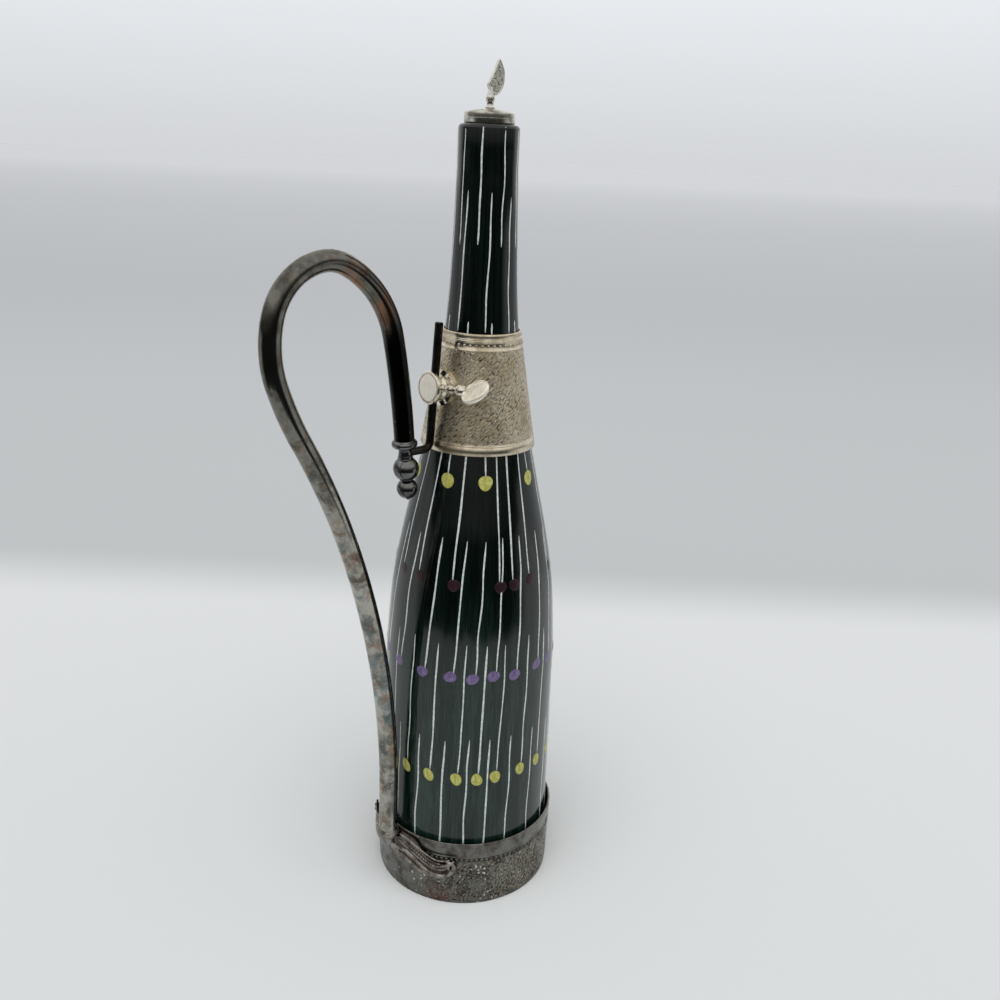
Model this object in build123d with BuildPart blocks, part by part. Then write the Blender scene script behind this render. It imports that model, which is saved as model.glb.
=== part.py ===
"""Wine pitcher: a tall hock bottle carried in a plated cup.

A bent tube handle rises from the cup. Its free end holds an upright rod, and a conical
collar slides on that rod over the neck of the bottle, where a thumbscrew clamps it.
A cork stopper with a small leaf closes the mouth.

Sizes are millimetres. +Z is up, the origin is the centre of the cup's underside, and the
handle is on the -X side.
"""

import os
from math import cos, radians, sin, tan

from build123d import *

os.makedirs("parts", exist_ok=True)

# General clearances
running_gap = 0.05
part_gap = 0.3

# Bottle: a body, a long taper and a short straight neck, stacked from the bottle's own base.
# The taper's curve is drawn as (share of its length, share of its drop in radius).
bottle_heel_radius = 39.75
bottle_heel_round = 5.0
bottle_body_draft = 1.15
bottle_shoulder_height = 114.5
bottle_taper_length = 208.0
bottle_taper_curve = [(0.154, 0.095), (0.269, 0.25), (0.385, 0.452), (0.582, 0.778), (0.702, 0.882),
                      (0.817, 0.947)]
bottle_neck_length = 17.1
bottle_neck_radius = 12.25
glass_wall = 3.4
glass_floor = 4.0
glass_heel_round = 6.0
punt_height = 7.0
bottle_foot_ring = 3.75
mouth_round = 1.6
bore_radius = 9.3
bore_length = 40.0

# Cup: a wall that stands clear of the bottle's heel and flares a little to its rim
bottle_cup_gap = 0.45
cup_height = 33.4
cup_flare = 0.8
cup_wall_thickness = 0.9
cup_floor_thickness = 1.2
cup_band_height = 6.4
cup_relief = 0.2
cup_rim_round = 0.3

# Handle: a tube bent in one plane; a positive angle turns away from the bottle
handle_radius = 4.2
handle_bore_radius = 3.2
handle_cup_gap = 0.3
handle_foot_drop = 1.0
handle_straight = 23.2
handle_bend_radii = [371.0, 320.0, 137.0, 45.4, 25.4, 17.8, 40.7, 388.0]
handle_bend_angles = [19.0, 9.5, -10.0, -32.8, -63.6, -38.7, -52.3, -6.3]

# Fixing at the foot of the handle
socket_radius = 5.1
socket_neck_radius = 3.6
socket_seat = 3.4
socket_ring_bottom = 2.3
socket_ring_top = 3.5
socket_lip = 1.4
socket_lip_wall = 0.2
plug_length = 9.0
stud_radius = 1.5
foot_nut_radius = 2.65
foot_nut_height = 3.4
foot_nut_round = 0.9
foot_stud_proud = 0.4

# Leaf bracket, drawn on the cup as (distance round the wall from the handle, height)
leaf_aim = 20.0
leaf_thickness = 1.3
leaf_edge_width = 1.2
leaf_edge_proud = 0.8
leaf_lower_edge = [(0, 19.4), (7, 19.1), (13.8, 16.2), (20.5, 14.8), (28.6, 15.6), (32.4, 22.1)]
leaf_upper_edge = [(30.6, 22.6), (24.5, 22.7), (19.0, 24.8), (15.5, 29.2), (9.5, 32.8)]
leaf_notch_half_width = 4.4
leaf_bead_place = (29.9, 21.4)
leaf_bead_radius = 1.35

# Finial under the free end of the handle
finial_ring_radius = 5.3
finial_ring_height = 3.4
finial_ring_round = 1.0
eye_radius = 2.9
eye_height = 4.6
finial_pin_radius = 1.25
finial_pin_in_tube = 7.0
upper_ball_radius = 5.35
lower_ball_radius = 4.4
ball_land_radius = 2.2
finial_tip_radius = 1.1
finial_tip_length = 1.6

# Upright rod
rod_radius = 1.72
rod_tilt = 4.2
rod_bend_radius = 3.2
rod_proud = 4.2
rod_end_chamfer = 0.4

# Neck collar
collar_eye_drop = 0.92
collar_height = 49.0
collar_bottom_gap = 0.88
collar_top_gap = 0.45
collar_sheet = 0.5
collar_relief = 0.15
collar_top_band = 6.6
collar_bottom_band = 3.9
collar_line_depth = 2.2
collar_line_width = 0.5

# Sliding boss on the collar
boss_rise = 26.5
flange_radius = 7.5
flange_rim_setback = 0.9
flange_front = 2.2
barrel_back_radius = 5.1
barrel_waist_radius = 4.5
barrel_front_radius = 5.6
barrel_rod_cover = 0.15
boss_cap_radius = 6.25
boss_cap_thickness = 1.4
boss_cap_step = 0.35
boss_disc_radius = 5.05
boss_disc_thickness = 0.8
boss_disc_recess = 0.6
boss_disc_ring = 0.35
boss_disc_round = 0.24
screw_stub_radius = 1.75
screw_stub_reach = 6.6

# Thumbscrew
screw_lift = 7.0
screw_radius = 1.25
screw_point = 0.5
screw_tip_gap = 0.1
inner_bead_reach = 11.0
inner_bead_radius = 2.1
outer_bead_reach = 17.3
outer_bead_radius = 2.6
bead_neck_radius = 1.2
screw_tenon_radius = 0.6
screw_tenon_length = 0.7
wing_reach = 24.6
wing_length = 12.4
wing_width = 7.8
wing_thickness = 1.8
wing_rim = 0.8
wing_recess = 0.35
wing_turn = 24.0

# Stopper: the leaf is drawn across its face, from the top of the stem
cap_radius = 10.1
cap_side = 3.2
cap_dome = 1.5
cap_edge_round = 0.5
cap_seat_gap = 0.9
cork_length = 24.0
cork_taper = 0.35
stem_radius = 1.65
stem_height = 4.2
stem_in_cork = 15.0
stopper_leaf_turn = 17.0
stopper_leaf_thickness = 2.2
stopper_leaf_rim = 0.8
stopper_leaf_recess = 0.4
stopper_leaf_tip = (3.2, 14.5)
stopper_leaf_side = (-1.5, 4.7)
stopper_leaf_curve = [(5.2, 10.6), (5.6, 6.9), (4.9, 3.6), (2.4, 0.9), (-0.4, 2.2)]
stopper_leaf_middle = (2.3, 6.3)
stopper_foot_radius = 1.9
stopper_foot_height = 4.2


def save(piece, name):
    """Label one finished piece and write it to its own file."""
    piece.part.label = name
    export_step(piece.part, f"parts/{name}.step")


# Places that follow from the sizes above
bottle_shoulder_radius = bottle_heel_radius - bottle_body_draft
bottle_neck_height = bottle_shoulder_height + bottle_taper_length
bottle_height = bottle_neck_height + bottle_neck_length
bottle_base = cup_floor_thickness + part_gap
cup_base_radius = bottle_heel_radius + bottle_cup_gap + cup_wall_thickness
cup_rim_radius = cup_base_radius + cup_flare
handle_offset = cup_rim_radius + handle_cup_gap + handle_radius
handle_foot = cup_height - handle_foot_drop
punt_radius = bottle_heel_radius - bottle_heel_round - bottle_foot_ring
taper_drop = bottle_shoulder_radius - bottle_neck_radius
taper_points = [
    (bottle_shoulder_radius - drop * taper_drop, bottle_shoulder_height + rise * bottle_taper_length)
    for rise, drop in bottle_taper_curve
]


def bottle_outside(height):
    """Radius of the bottle's taper at a height, on straight lines between the points of its curve."""
    above = height - bottle_base
    for (radius, low), (next_radius, high) in zip(taper_points, taper_points[1:]):
        if low <= above <= high:
            return radius + (next_radius - radius) * (above - low) / (high - low)
    return bottle_neck_radius if above > taper_points[-1][1] else bottle_shoulder_radius


def cup_outside(height):
    """Radius of the cup's hammered wall at a height."""
    return cup_base_radius + (cup_rim_radius - cup_relief - cup_base_radius) * height / cup_height


# Cup wall: a tapered sleeve with a plain raised band round its rim
band_bottom = cup_height - cup_band_height
with BuildPart() as cup_wall:
    with BuildSketch(Plane.XZ):
        with BuildLine():
            Polyline(
                (cup_base_radius - cup_wall_thickness, 0),
                (cup_base_radius, 0),
                (cup_outside(band_bottom), band_bottom),
                (cup_outside(band_bottom) + cup_relief, band_bottom + cup_relief),
                (cup_rim_radius, cup_height),
                (cup_rim_radius - cup_relief - cup_wall_thickness, cup_height),
                close=True,
            )
        make_face()
    revolve(axis=Axis.Z)
    fillet(cup_wall.edges().group_by(Axis.Z)[-1], cup_rim_round)
save(cup_wall, "cup_wall")

# Cup floor: a disc fitted inside the foot of the wall
with BuildPart() as cup_floor:
    with BuildSketch():
        Circle(cup_base_radius - cup_wall_thickness)
    extrude(amount=cup_floor_thickness)
save(cup_floor, "cup_floor")

# Bottle: glass of nearly even wall, with a punt below and a straight bore at the mouth
bore_start = bottle_height - bore_length
body_slope = (-bottle_body_draft, bottle_shoulder_height - bottle_heel_round)
inside_curve = [(radius - glass_wall, height) for radius, height in taper_points]
inside_heel_radius = bottle_heel_radius - glass_wall
with BuildPart() as bottle:
    with BuildSketch(Plane.XZ.shift_origin((0, 0, bottle_base))):
        with BuildLine():
            TangentArc((0, punt_height), (punt_radius, 0), tangent=(1, 0))
            Line((punt_radius, 0), (bottle_heel_radius - bottle_heel_round, 0))
            RadiusArc(
                (bottle_heel_radius - bottle_heel_round, 0),
                (bottle_heel_radius, bottle_heel_round),
                -bottle_heel_round,
            )
            Line((bottle_heel_radius, bottle_heel_round), (bottle_shoulder_radius, bottle_shoulder_height))
            Spline(
                (bottle_shoulder_radius, bottle_shoulder_height),
                *taper_points,
                (bottle_neck_radius, bottle_neck_height),
                tangents=[body_slope, (0, 1)],
            )
            Line((bottle_neck_radius, bottle_neck_height), (bottle_neck_radius, bottle_height - mouth_round))
            RadiusArc(
                (bottle_neck_radius, bottle_height - mouth_round),
                (bottle_neck_radius - mouth_round, bottle_height),
                -mouth_round,
            )
            Line((bottle_neck_radius - mouth_round, bottle_height), (bore_radius, bottle_height))
            Line((bore_radius, bottle_height), (bore_radius, bore_start))
            Spline(
                (bore_radius, bore_start),
                *reversed(inside_curve),
                (bottle_shoulder_radius - glass_wall, bottle_shoulder_height),
                tangents=[(0, -1), (-body_slope[0], -body_slope[1])],
            )
            Line(
                (bottle_shoulder_radius - glass_wall, bottle_shoulder_height),
                (inside_heel_radius, glass_floor + glass_heel_round),
            )
            RadiusArc(
                (inside_heel_radius, glass_floor + glass_heel_round),
                (inside_heel_radius - glass_heel_round, glass_floor),
                glass_heel_round,
            )
            Line((inside_heel_radius - glass_heel_round, glass_floor), (0, punt_height + glass_floor))
            Line((0, punt_height + glass_floor), (0, punt_height))
        make_face()
    revolve(axis=Axis.Z)
save(bottle, "bottle")

# Handle tube, swept along its row of bends
with BuildLine(Plane.XZ) as handle_line:
    bend = Line((-handle_offset, handle_foot), (-handle_offset, handle_foot + handle_straight))
    for bend_radius, bend_angle in zip(handle_bend_radii, handle_bend_angles):
        bend = JernArc(bend @ 1, bend % 1, bend_radius, bend_angle)
handle_start = handle_line.line @ 0
handle_end = handle_line.line @ 1
finial_direction = handle_line.line % 1
with BuildPart() as handle_tube:
    with BuildSketch(Plane(origin=handle_start, z_dir=(0, 0, 1))):
        Circle(handle_radius)
        Circle(handle_bore_radius, mode=Mode.SUBTRACT)
    sweep(path=handle_line.line)
save(handle_tube, "handle_tube")

# Foot of the handle: a plug in the tube, a stud through the socket and a nut below it
foot_plane = Plane(origin=handle_start)
stud_bottom = -socket_seat - foot_nut_height - foot_stud_proud
with BuildPart(foot_plane) as foot_plug:
    Cylinder(handle_bore_radius, plug_length, align=(Align.CENTER, Align.CENTER, Align.MIN))
    Hole(stud_radius)
save(foot_plug, "foot_plug")

with BuildPart(foot_plane.offset(stud_bottom)) as foot_stud:
    Cylinder(stud_radius, plug_length - stud_bottom, align=(Align.CENTER, Align.CENTER, Align.MIN))
save(foot_stud, "foot_stud")

# The socket is a turned dish, cut back to the cup wall where it is brazed on
with BuildPart() as handle_socket:
    with BuildSketch(Plane.XZ.shift_origin((-handle_offset, 0, handle_foot - socket_seat))):
        with BuildLine():
            Polyline(
                (stud_radius, 0),
                (socket_neck_radius, 0),
                (socket_neck_radius, socket_ring_bottom / 2),
                (socket_radius, socket_ring_bottom),
                (socket_radius, socket_ring_top),
                (handle_radius + socket_lip_wall, socket_seat + socket_lip),
                (handle_radius, socket_seat + socket_lip),
                (handle_radius, socket_seat),
                (stud_radius, socket_seat),
                close=True,
            )
        make_face()
    revolve(axis=Axis((-handle_offset, 0, 0), (0, 0, 1)))
    with BuildSketch(Plane.XZ):
        with BuildLine():
            Polyline(
                (0, 0),
                (cup_base_radius, 0),
                (cup_outside(band_bottom), band_bottom),
                (cup_outside(band_bottom) + cup_relief, band_bottom + cup_relief),
                (cup_rim_radius, cup_height),
                (cup_rim_radius, cup_height + socket_lip),
                (0, cup_height + socket_lip),
                close=True,
            )
        make_face()
    revolve(axis=Axis.Z, mode=Mode.SUBTRACT)
save(handle_socket, "handle_socket")

with BuildPart(foot_plane.offset(-socket_seat - foot_nut_height)) as foot_nut:
    Cylinder(foot_nut_radius, foot_nut_height, align=(Align.CENTER, Align.CENTER, Align.MIN))
    fillet(foot_nut.edges().group_by(Axis.Z)[0], foot_nut_round)
    Hole(stud_radius)
save(foot_nut, "foot_nut")

# Leaf bracket: one casting with a leaf on each side of the handle, shaped to the cup wall
leaf_direction = Vector(-cos(radians(leaf_aim)), -sin(radians(leaf_aim)), 0)
leaf_across = Vector(sin(radians(leaf_aim)), -cos(radians(leaf_aim)), 0)
leaf_plane = Plane(origin=(0, 0, 0), x_dir=leaf_across, z_dir=leaf_direction)


def leaf_points(places):
    """Places given round the cup wall, as points of the flat leaf drawing."""
    drawn = []
    for arc, height in places:
        turn = arc / cup_rim_radius - radians(leaf_aim)
        drawn.append((cup_rim_radius * sin(turn), height))
    return drawn


def wall_layer(thickness):
    """Outline of a layer of this thickness that lies on the cup wall, for revolving."""
    Polyline(
        (cup_base_radius, 0),
        (cup_outside(band_bottom), band_bottom),
        (cup_outside(band_bottom) + cup_relief, band_bottom + cup_relief),
        (cup_rim_radius, cup_height),
        (cup_rim_radius + thickness, cup_height),
        (cup_base_radius + thickness, 0),
        close=True,
    )


lower_edge = leaf_points(leaf_lower_edge)
upper_edge = leaf_points(leaf_upper_edge)
edge_top = leaf_points([(arc, height + leaf_edge_width) for arc, height in leaf_lower_edge[:-1]])
edge_tip = (lower_edge[-1][0] - leaf_edge_width, lower_edge[-1][1])
plate_top = handle_foot - socket_seat - part_gap
notch_side = leaf_notch_half_width
notch = leaf_points([(notch_side, leaf_upper_edge[-1][1]), (notch_side, plate_top), (0, plate_top)])

with BuildPart() as leaf_edge:
    with BuildSketch(leaf_plane):
        with BuildLine():
            Spline(*lower_edge)
            Line(lower_edge[-1], edge_tip)
            Spline(edge_tip, *reversed(edge_top))
            Line(edge_top[0], lower_edge[0])
        make_face()
    extrude(amount=cup_rim_radius * 2)
    with BuildSketch(Plane.XZ):
        with BuildLine():
            wall_layer(leaf_thickness + leaf_edge_proud)
        make_face()
    revolve(axis=Axis.Z, mode=Mode.INTERSECT)

bead_turn = leaf_bead_place[0] / cup_rim_radius
bead_centre = (-cos(bead_turn), -sin(bead_turn))
bead_distance = cup_outside(leaf_bead_place[1]) + leaf_bead_radius + running_gap
with BuildPart() as leaf_bracket:
    with BuildSketch(leaf_plane):
        with BuildLine():
            Spline(*lower_edge)
            Line(lower_edge[-1], upper_edge[0])
            Spline(*upper_edge)
            Polyline(upper_edge[-1], *notch, lower_edge[0])
        make_face()
    extrude(amount=cup_rim_radius * 2)
    with BuildSketch(Plane.XZ):
        with BuildLine():
            wall_layer(leaf_thickness)
        make_face()
    revolve(axis=Axis.Z, mode=Mode.INTERSECT)
    add(leaf_edge.part)
    with Locations((bead_centre[0] * bead_distance, bead_centre[1] * bead_distance, leaf_bead_place[1])):
        Sphere(leaf_bead_radius)
    mirror(about=Plane.XZ)
save(leaf_bracket, "leaf_bracket")

# Finial: ring, eye for the rod, and two balls, all threaded on one pin below the tube's end
finial_plane = Plane(origin=handle_end, x_dir=(0, 1, 0), z_dir=finial_direction)
eye_top = finial_ring_height
upper_ball_top = eye_top + eye_height
upper_ball_land = (upper_ball_radius**2 - ball_land_radius**2) ** 0.5
lower_ball_land = (lower_ball_radius**2 - ball_land_radius**2) ** 0.5
upper_ball_centre = upper_ball_top + (upper_ball_radius**2 - eye_radius**2) ** 0.5
lower_ball_centre = upper_ball_centre + upper_ball_land + lower_ball_land
with BuildPart(finial_plane.offset(-plug_length)) as finial_plug:
    Cylinder(handle_bore_radius, plug_length, align=(Align.CENTER, Align.CENTER, Align.MIN))
    Hole(finial_pin_radius)
save(finial_plug, "finial_plug")

with BuildPart(finial_plane) as finial_ring:
    Cylinder(finial_ring_radius, finial_ring_height, align=(Align.CENTER, Align.CENTER, Align.MIN))
    fillet(finial_ring.edges(), finial_ring_round)
    Hole(finial_pin_radius)
save(finial_ring, "finial_ring")

pin_length = finial_pin_in_tube + lower_ball_centre
with BuildPart(finial_plane.offset(-finial_pin_in_tube)) as finial_pin:
    Cylinder(finial_pin_radius, pin_length, align=(Align.CENTER, Align.CENTER, Align.MIN))
save(finial_pin, "finial_pin")

with BuildPart(finial_plane.offset(upper_ball_centre)) as finial_upper_ball:
    Sphere(upper_ball_radius)
    Hole(finial_pin_radius)
    split(bisect_by=finial_plane.offset(upper_ball_top), keep=Keep.TOP)
    split(bisect_by=finial_plane.offset(upper_ball_centre + upper_ball_land), keep=Keep.BOTTOM)
save(finial_upper_ball, "finial_upper_ball")

with BuildPart(finial_plane.offset(lower_ball_centre)) as finial_lower_ball:
    Sphere(lower_ball_radius)
    with Locations((0, 0, lower_ball_radius)):
        Cone(finial_tip_radius, 0, finial_tip_length, align=(Align.CENTER, Align.CENTER, Align.CENTER))
    split(bisect_by=finial_plane.offset(lower_ball_centre - lower_ball_land), keep=Keep.TOP)
    with Locations((0, 0, -lower_ball_land)):
        Cylinder(
            finial_pin_radius,
            lower_ball_land,
            align=(Align.CENTER, Align.CENTER, Align.MIN),
            mode=Mode.SUBTRACT,
        )
save(finial_lower_ball, "finial_lower_ball")

# The collar's foot is a little below the eye that the rod comes from
eye_centre = finial_plane.from_local_coords((0, 0, eye_top + eye_height / 2))
collar_bottom = eye_centre.Z - collar_eye_drop
collar_top = collar_bottom + collar_height
collar_bottom_radius = bottle_outside(collar_bottom) + collar_bottom_gap + collar_sheet
collar_top_radius = bottle_outside(collar_top) + collar_top_gap + collar_sheet
boss_height = collar_bottom + boss_rise
rod_top = collar_top + rod_proud


def collar_outside(height):
    """Radius of the collar's hammered cone at a height."""
    share = (height - collar_bottom) / collar_height
    return collar_bottom_radius + (collar_top_radius - collar_bottom_radius) * share


# Rod: an arm out of the eye, one bend, and a leaning upright that clears the collar's foot
rod_direction = Vector(sin(radians(rod_tilt)), 0, cos(radians(rod_tilt)))
rod_lean = tan(radians(rod_tilt))
rod_offset_at_collar = collar_bottom_radius + collar_relief + part_gap + rod_radius / cos(radians(rod_tilt))


def rod_x(height):
    """Position of the upright's centre line at a height."""
    return -rod_offset_at_collar + (height - collar_bottom) * rod_lean


with BuildPart() as clamp_rod:
    with BuildLine(Plane.XZ) as rod_line:
        FilletPolyline(
            (eye_centre.X + finial_pin_radius + part_gap, eye_centre.Z),
            (rod_x(eye_centre.Z), eye_centre.Z),
            (rod_x(rod_top), rod_top),
            radius=rod_bend_radius,
        )
    with BuildSketch(Plane(origin=rod_line.line @ 0, z_dir=rod_line.line % 0)):
        Circle(rod_radius)
    sweep(path=rod_line.line)
    chamfer(clamp_rod.edges().group_by(Axis.Z)[-1], rod_end_chamfer)
save(clamp_rod, "clamp_rod")

with BuildPart(finial_plane.offset(eye_top)) as rod_eye:
    Cylinder(eye_radius, eye_height, align=(Align.CENTER, Align.CENTER, Align.MIN))
    Hole(finial_pin_radius)
    with BuildSketch(Plane(origin=eye_centre, z_dir=(1, 0, 0))):
        Circle(rod_radius)
    extrude(amount=eye_radius * 2, mode=Mode.SUBTRACT)
save(rod_eye, "rod_eye")

# Neck collar: a cone of sheet with a plain band at each end and two lines near the top
with BuildPart() as neck_collar:
    with BuildSketch(Plane.XZ):
        with BuildLine():
            top_band = collar_top - collar_top_band
            bottom_band = collar_bottom + collar_bottom_band
            line_top = collar_top - collar_line_depth
            line_foot = line_top - collar_line_width
            Polyline(
                (collar_outside(collar_bottom) - collar_sheet, collar_bottom),
                (collar_outside(collar_bottom) + collar_relief, collar_bottom),
                (collar_outside(bottom_band) + collar_relief, bottom_band),
                (collar_outside(bottom_band), bottom_band),
                (collar_outside(top_band), top_band),
                (collar_outside(top_band) + collar_relief, top_band),
                (collar_outside(line_foot) + collar_relief, line_foot),
                (collar_outside(line_foot), line_foot),
                (collar_outside(line_top), line_top),
                (collar_outside(line_top) + collar_relief, line_top),
                (collar_outside(collar_top) + collar_relief, collar_top),
                (collar_outside(collar_top) - collar_sheet, collar_top),
                close=True,
            )
        make_face()
    revolve(axis=Axis.Z)
save(neck_collar, "neck_collar")

# Boss: flange, barrel, cap and disc, turned about an axis square to the rod
boss_centre = Vector(rod_x(boss_height), 0, boss_height)
boss_outward = Vector(-cos(radians(rod_tilt)), 0, sin(radians(rod_tilt)))
boss_axis = Axis(boss_centre, boss_outward)
boss_section = Plane(origin=boss_centre, x_dir=rod_direction, z_dir=rod_direction.cross(boss_outward))
boss_plane = Plane(origin=boss_centre, x_dir=(0, 1, 0), z_dir=boss_outward)
screw_direction = Vector(0, -cos(radians(screw_lift)), sin(radians(screw_lift)))
screw_plane = Plane(origin=boss_centre, z_dir=screw_direction)
barrel_front = rod_radius + barrel_rod_cover
cap_front = barrel_front + boss_cap_thickness

with BuildPart() as boss_flange:
    with BuildSketch(boss_section):
        with BuildLine():
            Polyline(
                (0, -flange_front),
                (barrel_back_radius, -flange_front),
                (flange_radius, -flange_front - flange_rim_setback),
                (flange_radius, -collar_bottom_radius / 2),
                (0, -collar_bottom_radius / 2),
                close=True,
            )
        make_face()
    revolve(axis=boss_axis)
    with BuildSketch(Plane.XZ):
        with BuildLine():
            Polyline(
                (0, collar_bottom),
                (collar_outside(collar_bottom), collar_bottom),
                (collar_outside(collar_top), collar_top),
                (0, collar_top),
                close=True,
            )
        make_face()
    revolve(axis=Axis.Z, mode=Mode.SUBTRACT)
save(boss_flange, "boss_flange")

with BuildPart() as boss_barrel:
    with BuildSketch(boss_section):
        with BuildLine():
            Line((0, -flange_front), (barrel_back_radius, -flange_front))
            ThreePointArc(
                (barrel_back_radius, -flange_front),
                (barrel_waist_radius, 0),
                (barrel_front_radius, barrel_front),
            )
            Line((barrel_front_radius, barrel_front), (0, barrel_front))
            Line((0, barrel_front), (0, -flange_front))
        make_face()
    revolve(axis=boss_axis)
    with BuildSketch(screw_plane):
        Circle(screw_stub_radius)
    extrude(amount=screw_stub_reach)
    with BuildSketch(screw_plane):
        Circle(screw_radius + running_gap)
    extrude(amount=screw_stub_reach * 2, mode=Mode.SUBTRACT)
    with BuildSketch(Plane(origin=boss_centre, z_dir=rod_direction)):
        Circle(rod_radius + running_gap)
    extrude(amount=flange_radius, both=True, mode=Mode.SUBTRACT)
save(boss_barrel, "boss_barrel")

with BuildPart() as boss_cap:
    with BuildSketch(boss_section):
        with BuildLine():
            Polyline(
                (0, barrel_front),
                (barrel_front_radius, barrel_front),
                (boss_cap_radius, barrel_front + boss_cap_step),
                (boss_cap_radius, cap_front - boss_cap_step),
                (boss_cap_radius - boss_cap_step, cap_front),
                (boss_disc_radius + boss_disc_ring, cap_front),
                (boss_disc_radius + boss_disc_ring, cap_front - boss_disc_recess),
                (0, cap_front - boss_disc_recess),
                close=True,
            )
        make_face()
    revolve(axis=boss_axis)
save(boss_cap, "boss_cap")

with BuildPart(boss_plane.offset(cap_front - boss_disc_recess)) as boss_disc:
    Cylinder(boss_disc_radius, boss_disc_thickness, align=(Align.CENTER, Align.CENTER, Align.MIN))
    fillet(boss_disc.faces().sort_by(Axis.X)[0].edges(), boss_disc_round)
save(boss_disc, "boss_disc")

# Thumbscrew: a turned shank with two beads, and an oval wing brazed in its end
screw_section = Plane(origin=boss_centre, x_dir=(1, 0, 0), z_dir=Vector(1, 0, 0).cross(screw_direction))
screw_tip = rod_radius + screw_tip_gap
wing_inner_end = wing_reach - wing_width / 2
with BuildPart() as thumbscrew_shank:
    with BuildSketch(screw_section):
        with BuildLine():
            Polyline(
                (0, screw_tip),
                (screw_radius - screw_point, screw_tip),
                (screw_radius, screw_tip + screw_point),
                (screw_radius, inner_bead_reach - inner_bead_radius),
                (bead_neck_radius, inner_bead_reach),
                (bead_neck_radius, wing_inner_end),
                (screw_tenon_radius, wing_inner_end),
                (screw_tenon_radius, wing_inner_end + screw_tenon_length),
                (0, wing_inner_end + screw_tenon_length),
                close=True,
            )
        make_face()
    revolve(axis=Axis(boss_centre, screw_direction))
    with Locations(screw_plane.offset(inner_bead_reach)):
        Sphere(inner_bead_radius)
    with Locations(screw_plane.offset(outer_bead_reach)):
        Sphere(outer_bead_radius)
save(thumbscrew_shank, "thumbscrew_shank")

wing_long = Vector(cos(radians(wing_turn)), 0, sin(radians(wing_turn)))
wing_long = (wing_long - screw_direction * wing_long.dot(screw_direction)).normalized()
wing_centre = boss_centre + screw_direction * wing_reach
wing_plane = Plane(origin=wing_centre, x_dir=wing_long, z_dir=wing_long.cross(screw_direction))
with BuildPart() as thumbscrew_wing:
    with BuildSketch(wing_plane):
        Ellipse(wing_length / 2, wing_width / 2)
    extrude(amount=wing_thickness / 2, both=True)
    fillet(thumbscrew_wing.edges(), wing_recess)
    with BuildSketch(wing_plane.offset(wing_thickness / 2), wing_plane.offset(-wing_thickness / 2)):
        Ellipse(wing_length / 2 - wing_rim, wing_width / 2 - wing_rim)
    extrude(amount=wing_recess, both=True, mode=Mode.SUBTRACT)
    with BuildSketch(screw_plane.offset(wing_inner_end)):
        Circle(screw_tenon_radius)
    extrude(amount=screw_tenon_length, mode=Mode.SUBTRACT)
save(thumbscrew_wing, "thumbscrew_wing")

# Stopper: a cork under a turned cap, with a stem that carries the leaf
cap_bottom = bottle_base + bottle_height + cap_seat_gap
stem_top = cap_bottom + cap_side + cap_dome + stem_height
cork_radius = bore_radius - running_gap
with BuildPart() as stopper_cork:
    with BuildSketch(Plane.XZ):
        with BuildLine():
            Polyline(
                (stem_radius, cap_bottom),
                (cork_radius, cap_bottom),
                (cork_radius, cap_bottom - cork_length / 2),
                (cork_radius - cork_taper, cap_bottom - cork_length),
                (0, cap_bottom - cork_length),
                (0, cap_bottom - stem_in_cork),
                (stem_radius, cap_bottom - stem_in_cork),
                close=True,
            )
        make_face()
    revolve(axis=Axis.Z)
save(stopper_cork, "stopper_cork")

with BuildPart() as stopper_cap:
    with BuildSketch(Plane.XZ):
        with BuildLine():
            Polyline(
                (stem_radius, cap_bottom),
                (cap_radius, cap_bottom),
                (cap_radius, cap_bottom + cap_side),
                (cap_radius - cap_edge_round, cap_bottom + cap_side + cap_edge_round / 2),
            )
            TangentArc(
                (stem_radius, cap_bottom + cap_side + cap_dome),
                (cap_radius - cap_edge_round, cap_bottom + cap_side + cap_edge_round / 2),
                tangent=(1, 0),
            )
            Line((stem_radius, cap_bottom + cap_side + cap_dome), (stem_radius, cap_bottom))
        make_face()
    revolve(axis=Axis.Z)
save(stopper_cap, "stopper_cap")

with BuildPart(Plane.XY.offset(cap_bottom - stem_in_cork)) as stopper_stem:
    Cylinder(stem_radius, stem_top - cap_bottom + stem_in_cork, align=(Align.CENTER, Align.CENTER, Align.MIN))
save(stopper_stem, "stopper_stem")

# The leaf stands on the stem: a leaning drop with a raised rim on both faces and a round foot
leaf_turn = radians(stopper_leaf_turn)
leaf_face = Plane(
    origin=(0, 0, stem_top),
    x_dir=(cos(leaf_turn), -sin(leaf_turn), 0),
    z_dir=(-sin(leaf_turn), -cos(leaf_turn), 0),
)


def drop_outline(inset):
    """A full curve and a straight side, drawn in towards the leaf's middle by an inset."""
    points = []
    for x, y in (stopper_leaf_tip, *stopper_leaf_curve, stopper_leaf_side):
        away = Vector(x - stopper_leaf_middle[0], y - stopper_leaf_middle[1])
        drawn = away * (1 - inset / away.length)
        points.append((stopper_leaf_middle[0] + drawn.X, stopper_leaf_middle[1] + drawn.Y))
    Spline(*points)
    Line(points[-1], points[0])


with BuildPart() as stopper_leaf:
    with BuildSketch(leaf_face):
        with BuildLine():
            drop_outline(0)
        make_face()
    extrude(amount=stopper_leaf_thickness / 2, both=True)
    for side in (1, -1):
        with BuildSketch(leaf_face.offset(side * stopper_leaf_thickness / 2)):
            with BuildLine():
                drop_outline(stopper_leaf_rim)
            make_face()
        extrude(amount=-side * stopper_leaf_recess, mode=Mode.SUBTRACT)
    with Locations((0, 0, stem_top)):
        Cone(
            stopper_foot_radius,
            stopper_leaf_thickness / 2,
            stopper_foot_height,
            align=(Align.CENTER, Align.CENTER, Align.MIN),
        )
save(stopper_leaf, "stopper_leaf")
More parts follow.
